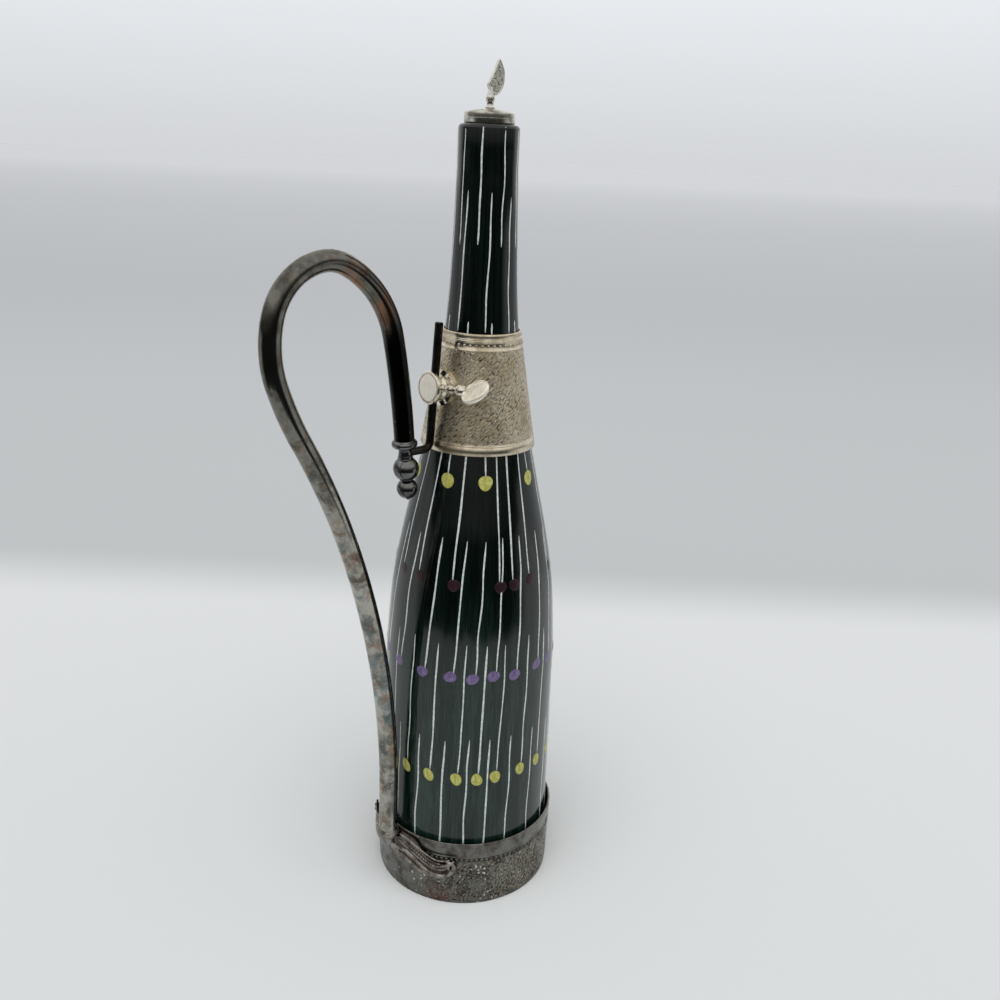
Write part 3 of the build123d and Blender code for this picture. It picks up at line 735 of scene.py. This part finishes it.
def dent(point, cell):
    """Depth of a hammer mark: 0 along its edge, deepest in its middle."""
    nearest = noise.voronoi(point / cell)[0]
    return min(nearest[1] - nearest[0], 1.0)


def outward(point):
    return Vector((point.x, point.y, 0)).normalized()


cup_profile = [(CUP_INSIDE, 0), (CUP_BASE - 0.3, 0), (CUP_BASE, 0.3)]
cup_profile += [(cup_radius(height), height) for height in [0.75 + 0.5 * step for step in range(49)]]
cup_profile += [
    (cup_radius(25.4), 25.4), (cup_radius(25.7) + 0.12, 25.55), (cup_radius(26.0) + 0.12, 25.95),
    (cup_radius(26.2), 26.15), (cup_radius(26.7), 26.7), (cup_radius(27.0) + 0.2, 27.0),
    (CUP_RIM - 0.1, 29.0), (CUP_RIM - 0.05, 31.5), (CUP_RIM, 32.9), (CUP_RIM - 0.2, 33.3),
    (CUP_RIM - 0.5, CUP_HEIGHT), (CUP_RIM - 0.9, 33.25), (CUP_RIM - 1.1, 32.9),
    (CUP_INSIDE + CUP_FLARE, 30.0), (CUP_INSIDE, 0),
]


def cup_dents(point):
    """Broad and fine hammer marks, calmer beside the handle, and a full mark behind the beads for painted
    shade.
    """
    on_wall = math.hypot(point.x, point.y) > cup_radius(point.z) - 0.4
    if not on_wall or not HAMMERED_FOOT < point.z < GROOVE_TOP:
        return point, 0.0
    # Behind the beads the mark is full, which the cup's finish paints as shade
    if point.z > HAMMERED_TOP:
        return point, 1.0
    azimuth = math.degrees(math.atan2(-point.y, -point.x))
    calm = min(1.0, max(0.15, (abs(azimuth) - 14) / 34))
    fade = min(1.0, (point.z - HAMMERED_FOOT) / 2, (HAMMERED_TOP + 0.1 - point.z) / 1.2)
    broad = dent(point, 2.6)
    fine = dent(point + Vector((9, 4, 2)), 1.15)
    depth = (0.34 * (0.45 - broad) + 0.2 * (0.4 - fine)) * calm * fade
    return point + outward(point) * depth, calm * fade * (FIELD_MARK + (1 - FIELD_MARK) * broad * fine)


def bead_row(radius, height, count, size):
    """A row of small flattened beads on a ring, all struck from one."""
    nothing_selected()
    bpy.ops.mesh.primitive_uv_sphere_add(
        segments=8, ring_count=6, radius=size * MM, location=(-radius * MM, 0, height * MM)
    )
    piece = bpy.context.object
    piece.scale = (0.7, 1, 1)
    bpy.ops.object.transform_apply(location=True, rotation=True, scale=True)
    edit_whole()
    bpy.ops.mesh.spin(steps=count, dupli=True, angle=FULL_TURN, center=(0, 0, 0), axis=(0, 0, 1))
    bpy.ops.mesh.select_all(action="SELECT")
    bpy.ops.mesh.remove_doubles(threshold=0.01 * MM)
    bpy.ops.object.mode_set(mode="OBJECT")
    return piece


cup = struck(turned(cup_profile, 520), cup_dents)
cup_beads = bead_row(cup_radius(24.6) - 0.22, height=24.5, count=112, size=0.8)
cup = joined([cup, cup_beads])
finished(cup, "cup_wall_hammered", "holder", "cup_plate", "cup", "cup_wall", angle=70)


# Handle: one tube, straight at its foot and then bent along its row of bends, as (radius, angle)

TUBE_RADIUS = 4.2
HANDLE_FOOT = Vector((-46.4, 0, 32.4))
HANDLE_RISE = Vector((0, 0, 23.2))
HANDLE_BENDS = [
    (371, 19.0), (320, 9.5), (137, -10.0), (45.4, -32.8),
    (25.4, -63.6), (17.8, -38.7), (40.7, -52.3), (388, -6.3),
]
BEND_STEP = 2.6

nothing_selected()
bpy.ops.mesh.primitive_circle_add(
    vertices=40, radius=TUBE_RADIUS * MM, location=HANDLE_FOOT * MM, fill_type="NGON"
)
handle = bpy.context.object
edit_whole()
bpy.ops.mesh.extrude_region_move(TRANSFORM_OT_translate={"value": HANDLE_RISE * MM})
tip = HANDLE_FOOT + HANDLE_RISE
heading = Vector((0, 0, 1))
for bend_radius, bend_angle in HANDLE_BENDS:
    to_centre = Vector((-heading.z, 0, heading.x)) * math.copysign(1, bend_angle)
    centre = tip + to_centre * bend_radius
    turn = Matrix.Rotation(-math.radians(bend_angle), 3, "Y")
    steps = max(3, round(bend_radius * math.radians(abs(bend_angle)) / BEND_STEP))
    bpy.ops.mesh.spin(steps=steps, angle=math.radians(bend_angle), center=centre * MM, axis=(0, 1, 0))
    tip = centre + turn @ (tip - centre)
    heading = turn @ heading
bpy.ops.mesh.select_all(action="SELECT")
bpy.ops.mesh.normals_make_consistent(inside=False)
bpy.ops.object.mode_set(mode="OBJECT")
bpy.ops.object.transform_apply(location=True, rotation=True, scale=True)


def knocks(point):
    """The tube's small dints and its uneven skin."""
    push = 0.1 * noise.noise(point / 9) + 0.05 * noise.noise(point / 2.5)
    return point + Vector((noise.noise(point / 14), noise.noise(point / 15 + Vector((5, 0, 0))), 0)) * push


shaped(handle, knocks)
finished(handle, "handle_bent_tube", "holder", "handle_plate", "handle", "handle_tube", angle=50)


# Finial, turned as ring, eye and two balls on the line of the tube's end


def dome(radius, centre, low, high, count):
    """Points round a ball whose middle is at a height, from one height to another."""
    first = math.acos(max(-1, min(1, (low - centre) / radius)))
    last = math.acos(max(-1, min(1, (high - centre) / radius)))
    steps = [first + (last - first) * step / count for step in range(count + 1)]
    return [(radius * math.sin(step), centre + radius * math.cos(step)) for step in steps]


ring = [(0, -0.2), (4.15, -0.2), (4.3, 0.1), (4.75, 0.35), (5.15, 0.8), (5.3, 1.4), (5.3, 1.9), (5.1, 2.5)]
ring += [(4.6, 2.95), (3.9, 3.15), (3.4, 3.4), (0, 3.4)]
eye = [(0, 3.3), (3.1, 3.3), (2.75, 3.8), (2.6, 4.6), (2.7, 5.7), (2.9, 6.8), (3.2, 7.6), (3.0, 8.1)]
eye.append((0, 8.2))
upper_ball = [(0, 8.0), *dome(5.35, 12.5, 8.0, 17.35, 20), (0, 17.4)]
lower_ball = [(0, 17.3), (2.2, 17.3), *dome(4.4, 21.19, 17.4, 25.45, 18)]
lower_ball += [(1.15, 25.5), (0.8, 25.9), (0.3, 26.3), (0, 26.35)]
for name, node, profile in (
    ("finial_ring_turned", "finial_ring", ring),
    ("rod_eye_turned", "rod_eye", eye),
    ("finial_ball_upper", "finial_upper_ball", upper_ball),
    ("finial_ball_lower", "finial_lower_ball", lower_ball),
):
    piece = moved(turned(profile, 48), tip, heading)
    finished(piece, name, "holder", "handle_plate", "finial", node, angle=50)


# Collar: a struck cone with plain bands, lines and a row of beads

COLLAR_FOOT, COLLAR_TOP = 212.1, 261.1
COLLAR_RADII = (24.7, 16.4)
COLLAR_WALL = 0.5
# The struck field's foot and top above the collar's foot, and its lean in radians to each millimetre
STRUCK_FOOT, STRUCK_TOP = 4.3, 42.2
STROKE_TWIST = 0.055


def collar_radius(height):
    share = (height - COLLAR_FOOT) / (COLLAR_TOP - COLLAR_FOOT)
    return COLLAR_RADII[0] + (COLLAR_RADII[1] - COLLAR_RADII[0]) * share


def ridge(low, high, proud):
    """A raised band of the collar's section between two heights above its foot."""
    start, end = COLLAR_FOOT + low, COLLAR_FOOT + high
    return [
        (collar_radius(start), start), (collar_radius(start) + proud, start + 0.12),
        (collar_radius(end) + proud, end - 0.12), (collar_radius(end), end),
    ]


collar_profile = [(collar_radius(COLLAR_FOOT) - COLLAR_WALL, COLLAR_FOOT)]
collar_profile += [*ridge(0, 3.5, 0.13), *ridge(3.75, 4.15, 0.15)]
for step in range(105):
    level = COLLAR_FOOT + (STRUCK_FOOT + 0.36 * step)
    collar_profile.append((collar_radius(level), level))
collar_profile += [
    *ridge(42.3, 42.75, 0.15), *ridge(46.0, 46.4, 0.15), *ridge(46.6, 47.0, 0.15), *ridge(47.1, 49.0, 0.13),
    (collar_radius(COLLAR_TOP) - COLLAR_WALL, COLLAR_TOP),
    (collar_radius(COLLAR_FOOT) - COLLAR_WALL, COLLAR_FOOT),
]


def collar_bark(point):
    """Slanting chisel strokes that are longer than they are wide, shallower in patches."""
    rise = point.z - COLLAR_FOOT
    on_skin = math.hypot(point.x, point.y) >= collar_radius(point.z) - 0.3
    if not on_skin or not STRUCK_FOOT < rise < STRUCK_TOP:
        return point, 0.0
    fade = min(1.0, rise - STRUCK_FOOT, STRUCK_TOP - rise)
    spun = Matrix.Rotation(-rise * STROKE_TWIST, 3, "Z") @ Vector((point.x, point.y, 0))
    spun.z = point.z * 0.42
    patch = 0.65 + 0.5 * noise.noise(point / 8)
    chisel = dent(spun, 1.1)
    small = noise.noise(Vector((spun.x, spun.y, spun.z * 1.6)) / 0.55)
    depth = (0.24 * (0.35 - chisel) + 0.06 * small) * fade * patch
    return point + outward(point) * depth, fade * (FIELD_MARK + (1 - FIELD_MARK) * chisel)


collar = struck(turned(collar_profile, 480), collar_bark)
collar_beads = bead_row(collar_radius(256.4) + 0.02, height=256.4, count=43, size=0.62)
collar = joined([collar, collar_beads])
finished(collar, "neck_collar_struck", "collar", "collar_plate", "collar", "neck_collar", angle=70)


# Medallions: the thumbscrew's wing and the stopper's leaf, both with a raised rim and a pebbled field


def medallion(reach, thickness, rim, recess, cell, depth, seed):
    """A flat drop about the vertical axis, whose outline is given by its reach at an angle."""
    half = thickness / 2
    field = half - recess
    profile = [(step / 16, field) for step in range(17)]
    profile += [(1.08, field + recess * 0.7), (1.25, half), (1.6, half), (1.85, half * 0.7), (2.0, 0)]
    profile += [(radius, -height) for radius, height in reversed(profile[:-1])]

    def fit(point):
        turn = math.atan2(point.y, point.x)
        radius = math.hypot(point.x, point.y)
        inner = reach(turn) - rim
        spot = inner * radius if radius <= 1 else inner + (radius - 1) * rim
        place = Vector((spot * math.cos(turn), spot * math.sin(turn), point.z))
        if radius >= 0.99:
            return place, 0.0
        face = math.copysign(1, point.z)
        pebble = dent(place + Vector((seed, 0, 40 * face)), cell)
        place.z += face * depth * abs(pebble - 0.3) * min(1, (1 - radius) * 8)
        return place, 1 - pebble

    return struck(turned(profile, 96), fit)


WING_HALF = (6.2, 6.0)
WING_REACH = 26.0
WING_TURN = math.radians(38.0)


def wing_reach(turn):
    return 1 / math.hypot(math.cos(turn) / WING_HALF[0], math.sin(turn) / WING_HALF[1])


def leaf_reach_from(points, middle):
    """Distance from a middle to an outline at an angle."""
    corners = [Vector(point) - Vector(middle) for point in points]

    def reach(turn):
        way = Vector((math.cos(turn), math.sin(turn)))
        best = 0.1
        for a, b in zip(corners, corners[1:] + corners[:1]):
            side = b - a
            cross = way.x * side.y - way.y * side.x
            if abs(cross) > 1e-9:
                along = (a.x * side.y - a.y * side.x) / cross
                share = (a.x * way.y - a.y * way.x) / cross
                if along > 0 and -1e-6 <= share <= 1 + 1e-6:
                    best = max(best, along)
        return best

    return reach


# The boss looks towards the handle along its own axis, and the screw comes out of its side
BOSS = Vector((-24.94, 0, 238.6))
BOSS_RISE = math.radians(4.2)
SCREW_RISE = math.radians(7.0)
boss_way = Vector((-math.cos(BOSS_RISE), 0, math.sin(BOSS_RISE)))
screw_way = Vector((0, -math.cos(SCREW_RISE), math.sin(SCREW_RISE)))
wing_long = Vector((math.cos(WING_TURN), 0, math.sin(WING_TURN)))
wing_long = (wing_long - screw_way * wing_long.dot(screw_way)).normalized()
wing = medallion(wing_reach, thickness=1.8, rim=0.8, recess=0.3, cell=1.0, depth=0.16, seed=3)
wing = moved(wing, BOSS + screw_way * WING_REACH, wing_long.cross(screw_way), wing_long)
finished(wing, "thumbscrew_wing_pebbled", "thumbscrew", "boss_plate", "pearl", "thumbscrew_wing", angle=50)

shank = [(0, 1.83), (0.7, 1.83), (1.2, 2.4), (1.2, 8.8), (1.45, 8.9), (1.45, 9.1)]
shank += [*dome(2.1, 11.0, 9.3, 12.75, 12), (1.35, 12.9), (1.2, 13.4), (1.2, 14.2), (1.5, 14.5), (1.5, 14.9)]
shank += [*dome(2.6, 17.3, 15.1, 19.5, 14), (1.45, 19.6), (1.5, 19.8), (1.25, 20.1), (1.15, 21.0), (0, 21.0)]
shank = moved(turned(shank, 40), BOSS, screw_way)
finished(shank, "thumbscrew_shank_turned", "thumbscrew", "boss_plate", "silver", "thumbscrew_shank", angle=40)

barrel = [(0, -2.2), (5.7, -2.2), (5.75, -1.7), (5.45, -1.1), (5.3, -0.4), (5.35, 0.3), (5.6, 0.9)]
barrel += [(6.0, 1.3), (6.1, 1.87), (0, 1.87)]
stub = [(0, 3.6), (1.75, 3.6), (1.75, 6.3), (1.6, 6.6), (1.3, 6.6), (0, 6.6)]
barrel = moved(turned(barrel, 64), BOSS, boss_way)
stub = moved(turned(stub, 32), BOSS, screw_way)
finished(joined([barrel, stub]), "boss_barrel_turned", "collar", "boss_plate", "silver", "boss_barrel")
cap = [(0, 1.2), (6.1, 1.2), (6.5, 1.3), (6.75, 1.6), (6.8, 2.0), (6.8, 2.6), (6.7, 3.0), (6.45, 3.25)]
cap += [(6.15, 3.3), (5.95, 3.22), (5.85, 3.0), (5.85, 2.6), (0, 2.6)]
cap = moved(turned(cap, 72), BOSS, boss_way)
finished(cap, "boss_cap_turned", "collar", "boss_plate", "silver", "boss_cap")
disc = [(0, 2.6), (5.42, 2.6), (5.42, 3.25), (5.35, 3.38), (5.15, 3.45), (3.5, 3.5), (0, 3.52)]
disc = moved(turned(disc, 72), BOSS, boss_way)
finished(disc, "boss_disc_domed", "collar", "disc_inlay", "disc", "boss_disc")


# Stopper: a cap with a lip and a fine line round it, a turned stem, and a leaf on a flared foot

CAP_FOOT = Vector((0, 0, 342.0))
LEAF_FOOT = Vector((0, 0, 350.9))
LEAF_TURN = math.radians(17.0)
LEAF_OUTLINE = [(3.2, 14.5), (5.2, 10.6), (5.6, 6.9), (4.9, 3.6), (2.4, 0.9), (-0.4, 2.2), (-1.5, 4.7)]
LEAF_MIDDLE = (2.3, 6.3)

cap = [(0, 0), (9.2, 0), (9.2, -0.75), (9.8, -0.75), (9.98, -0.5), (10.08, 0.0), (10.1, 1.2), (10.03, 1.3)]
cap += [(10.03, 1.42), (10.1, 1.52), (10.1, 2.3), (10.1, 2.9), (10.0, 3.2), (9.6, 3.45), (8.6, 3.75)]
cap += [(7.4, 4.0), (7.2, 3.95), (7.0, 4.1), (5.5, 4.4), (3.5, 4.62), (2.3, 4.7), (2.1, 4.85), (1.65, 4.9)]
cap.append((0, 4.9))
cap = moved(turned(cap, 96), CAP_FOOT)
finished(cap, "stopper_cap_turned", "stopper", "stopper_metal", "stopper", "stopper_cap", angle=30)
stem = [(0, -15), (1.3, -15), (1.3, 4.6), (1.9, 4.8), (2.0, 5.2), (1.6, 5.6), (1.35, 6.3), (1.4, 7.4)]
stem += [(1.75, 8.0), (1.8, 8.4), (1.5, 8.8), (1.4, 8.9), (0, 8.9)]
stem = moved(turned(stem, 36), CAP_FOOT)
finished(stem, "stopper_stem_turned", "stopper", "stopper_metal", "stopper", "stopper_stem", angle=40)

leaf_reach = leaf_reach_from(curve_through(LEAF_OUTLINE, 8), LEAF_MIDDLE)
leaf = medallion(leaf_reach, thickness=2.2, rim=0.85, recess=0.35, cell=1.1, depth=0.2, seed=11)
leaf_side = Vector((math.cos(LEAF_TURN), -math.sin(LEAF_TURN), 0))
leaf_front = Vector((-math.sin(LEAF_TURN), -math.cos(LEAF_TURN), 0))
leaf_origin = LEAF_FOOT + leaf_side * LEAF_MIDDLE[0] + Vector((0, 0, LEAF_MIDDLE[1]))
leaf = moved(leaf, leaf_origin, leaf_front, leaf_side)
foot = [(0, 0), (1.8, 0), (1.75, 0.5), (1.45, 1.2), (1.1, 2.4), (0.8, 4.0), (0, 4.4)]
foot = moved(turned(foot, 32), LEAF_FOOT - Vector((0, 0, 0.1)))
leaf = joined([leaf, foot])
finished(leaf, "stopper_leaf_pebbled", "stopper", "stopper_metal", "leaf", "stopper_leaf", angle=50)


# Leaf bracket: a cast plate with flowing strands, strings of grains and a curled end, on each side


def on_cup(arc, height, proud):
    """A point off the cup's wall, by its distance along the wall from the handle's middle."""
    turn = arc / CUP_RIM
    radius = cup_radius(height) + proud
    return Vector((-radius * math.cos(turn), -radius * math.sin(turn), height))


def grain(place, size, fineness):
    """A small ball of cast metal."""
    nothing_selected()
    bpy.ops.mesh.primitive_ico_sphere_add(subdivisions=fineness, radius=size * MM, location=place * MM)
    return bpy.context.object


# Paths as (size, distance off the wall, points of arc and height)
STRANDS = [
    (1.15, 1.35, [
        (-1, 21.4), (5.3, 23.2), (9.5, 22.9), (13.4, 20.8), (18.5, 17.2), (23.8, 15.4), (29.4, 16.3),
        (32.2, 19.6), (32.2, 22.6), (30.6, 23.8),
    ]),
    (0.6, 1.5, [(3.6, 27.2), (7.6, 25.9), (13.6, 23.3), (19, 20.4), (23.5, 18.6), (27.8, 19.3), (29.6, 21.4)]),
    (0.62, 1.6, [(4.2, 31.0), (9.4, 30.4), (14, 28.6), (18.8, 26.2), (23.4, 24), (27.4, 24.3), (30, 25.4)]),
]
GRAIN_STRINGS = [
    (0.5, 1.55, [(4, 28.9), (8.9, 27.4), (14.1, 25.0), (18.9, 22.2), (23.5, 20.4), (27.7, 21.6)]),
    (0.46, 1.5, [(5.6, 30), (11.2, 28.6), (16.2, 26.0), (20.9, 23.2), (25.3, 22.4)]),
]
# The curled end's knobs, as (arc, height, size)
KNOBS = [(30.0, 23.4, 1.25), (28.6, 24.4, 0.7), (31.6, 24.6, 0.65), (28.4, 22.4, 0.6)]

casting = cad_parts["leaf_bracket"].copy()
casting.data = casting.data.copy()
casting.parent = None
bpy.context.collection.objects.link(casting)
for key in list(casting.keys()):
    del casting[key]
chosen(casting)
edit_whole()
bpy.ops.mesh.remove_doubles(threshold=WELD)
bpy.ops.object.mode_set(mode="OBJECT")
parts = [casting]
for side in (1, -1):
    for size, proud, path in STRANDS:
        places = []
        for index, (arc, height) in enumerate(path):
            narrowed = 1.0 - 0.35 * index / (len(path) - 1)
            places.append((on_cup(side * arc, height, proud), narrowed))
        parts.append(strand(places, size))
    for size, proud, path in GRAIN_STRINGS:
        for arc, height in curve_through(path, 4):
            parts.append(grain(on_cup(side * arc, height, proud), size, 2))
    for arc, height, size in KNOBS:
        parts.append(grain(on_cup(side * arc, height, 1.5), size, 3))
casting = remeshed(joined(parts), voxel=0.24, softening=3)


def cast_skin(point):
    """The casting's lumps, and how deep a place lies below its highest strands."""
    lump = 0.07 * noise.noise(point / 1.6) + 0.03 * noise.noise(point / 0.7)
    proud = math.hypot(point.x, point.y) - cup_radius(point.z)
    return point + outward(point) * lump, max(0.0, min(1.0, (2.1 - proud) / 1.1))


struck(casting, cast_skin)
finished(casting, "leaf_bracket_cast", "holder", "handle_plate", "cast", "leaf_bracket", angle=70)


# Solids that already have their shape take their finish here
for node, finish in {
    "cup_floor": "steel", "foot_plug": "steel", "foot_stud": "steel", "foot_nut": "handle",
    "handle_socket": "cast", "finial_plug": "steel", "finial_pin": "steel", "clamp_rod": "rod",
    "boss_flange": "silver", "stopper_cork": "cork",
}.items():
    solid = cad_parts[node]
    solid.data.materials.clear()
    solid.data.materials.append(FINISHES[finish].data)


# Floor, lights and camera

# The camera's level direction over the floor, and where the backdrop's fold crosses it, in metres
AXIS_TO_BACK = Vector((0.682, 0.7314))
FOLD = 0.31


def linear(red, green, blue):
    """A colour that is already in a socket's linear values."""
    return (red, green, blue, 1.0)


stage = Finish("studio_floor")
position = stage.node("TexCoord", output=3)
x, y, _ = stage.parts(position)
depth = x * AXIS_TO_BACK.x + y * AXIS_TO_BACK.y
side = x * AXIS_TO_BACK.y - y * AXIS_TO_BACK.x
# The floor's tone is painted by depth: even near the object, a darker band past the fold as painted shade,
# paler far off
beyond = stage.span(depth, FOLD - 0.045, FOLD + 0.06)
near_tone = stage.mix(stage.span(depth, -0.3, 0.3), linear(0.735, 0.755, 0.755), linear(0.74, 0.755, 0.76))
far_tone = stage.mix(stage.span(depth, 0.4, 2.0), linear(0.555, 0.575, 0.585), linear(0.505, 0.52, 0.535))
far_tone = stage.mix(stage.span(depth, 2.2, 14.0, smooth=False), far_tone, linear(0.65, 0.665, 0.69))
# In mirror images, the floor towards the camera turns black half a metre away, as past a table's edge
reach = (x * x + y * y) ** 0.5
toward = depth / (reach + 0.001)
lobes = stage.noise(stage.join(side * 9, depth * 3, 0.0), 1.0, 2, 0.5)
dark_front = stage.span(reach + lobes * 0.16, 0.495, 0.535) * (1 - stage.span(toward, -0.5, -0.1))
glossy = stage.node("LightPath", output=3)
plain = stage.node("BsdfDiffuse", None, stage.mix(beyond, near_tone, far_tone), 1.0)
black = stage.node("Emission", None, linear(0.03, 0.035, 0.035), 1.0)
blend = stage.node("MixShader", None, glossy * dark_front, plain, black)
stage.tree.links.new(blend.socket, stage.tree.nodes["Material Output"].inputs["Surface"])
nothing_selected()
bpy.ops.mesh.primitive_plane_add(size=60, location=(0, 0, 0))
floor = bpy.context.object
floor.name = "studio_floor"
floor.data.materials.append(stage.data)

# The air has its own tones for the camera, for mirror images and for the light that it sheds
sky = Finish("studio_air", world=True)
bpy.context.scene.world = sky.data
x, y, z = sky.parts(sky.node("TexCoord", output=0))
flat = (x * x + y * y + 0.0001) ** 0.5
facing = (x * AXIS_TO_BACK.x + y * AXIS_TO_BACK.y) / flat
front_low = sky.mix(sky.span(z, 0.02, 0.13), linear(0.03, 0.03, 0.03), linear(0.24, 0.235, 0.22))
low = sky.mix(sky.span(facing, 0.2, 0.62), front_low, linear(0.86, 0.86, 0.87))
mirror = sky.mix(sky.span(z, 0.12, 0.5), low, linear(0.95, 0.95, 0.93))
seen = sky.mix(sky.span(z, 0.0, 0.13, smooth=False), linear(0.655, 0.67, 0.695), linear(0.80, 0.825, 0.855))
camera_ray = sky.node("LightPath", output=0)
glossy_ray = sky.node("LightPath", output=3)
air = sky.mix(camera_ray, sky.mix(glossy_ray, linear(0.62, 0.62, 0.62), mirror), seen)
background = sky.tree.nodes["Background"]
sky.feed(background.inputs["Color"], air)
sky.feed(background.inputs["Strength"], 1.0)

nothing_selected()
bpy.ops.object.light_add(type="SUN", location=(0, 0, 2))
lamp = bpy.context.object
lamp.name = "overhead_soft_light"
lamp.data.energy = 1.25
lamp.data.angle = math.radians(50)
lamp.rotation_euler = (math.radians(12), math.radians(-14), 0)
lamp.visible_glossy = False

# Solved from the photograph: the camera's place in millimetres, its direction and its roll
CAMERA_PLACE = Vector((-278.1, -314.2, 330.5))
FORWARD = Vector((0.6445, 0.6911, -0.3272)).normalized()
ROLL = math.radians(2.62)
level = FORWARD.cross(Vector((0, 0, 1))).normalized()
upright = level.cross(FORWARD)
right = level * math.cos(ROLL) + upright * math.sin(ROLL)
up = upright * math.cos(ROLL) - level * math.sin(ROLL)
bpy.ops.object.camera_add(location=CAMERA_PLACE * MM)
camera = bpy.context.object
camera.rotation_euler = Matrix((right, up, -FORWARD)).transposed().to_euler()
camera.data.lens = 36
camera.data.sensor_width = 36
camera.data.clip_start = 0.01
bpy.context.scene.camera = camera
bpy.context.scene.view_settings.view_transform = "Standard"
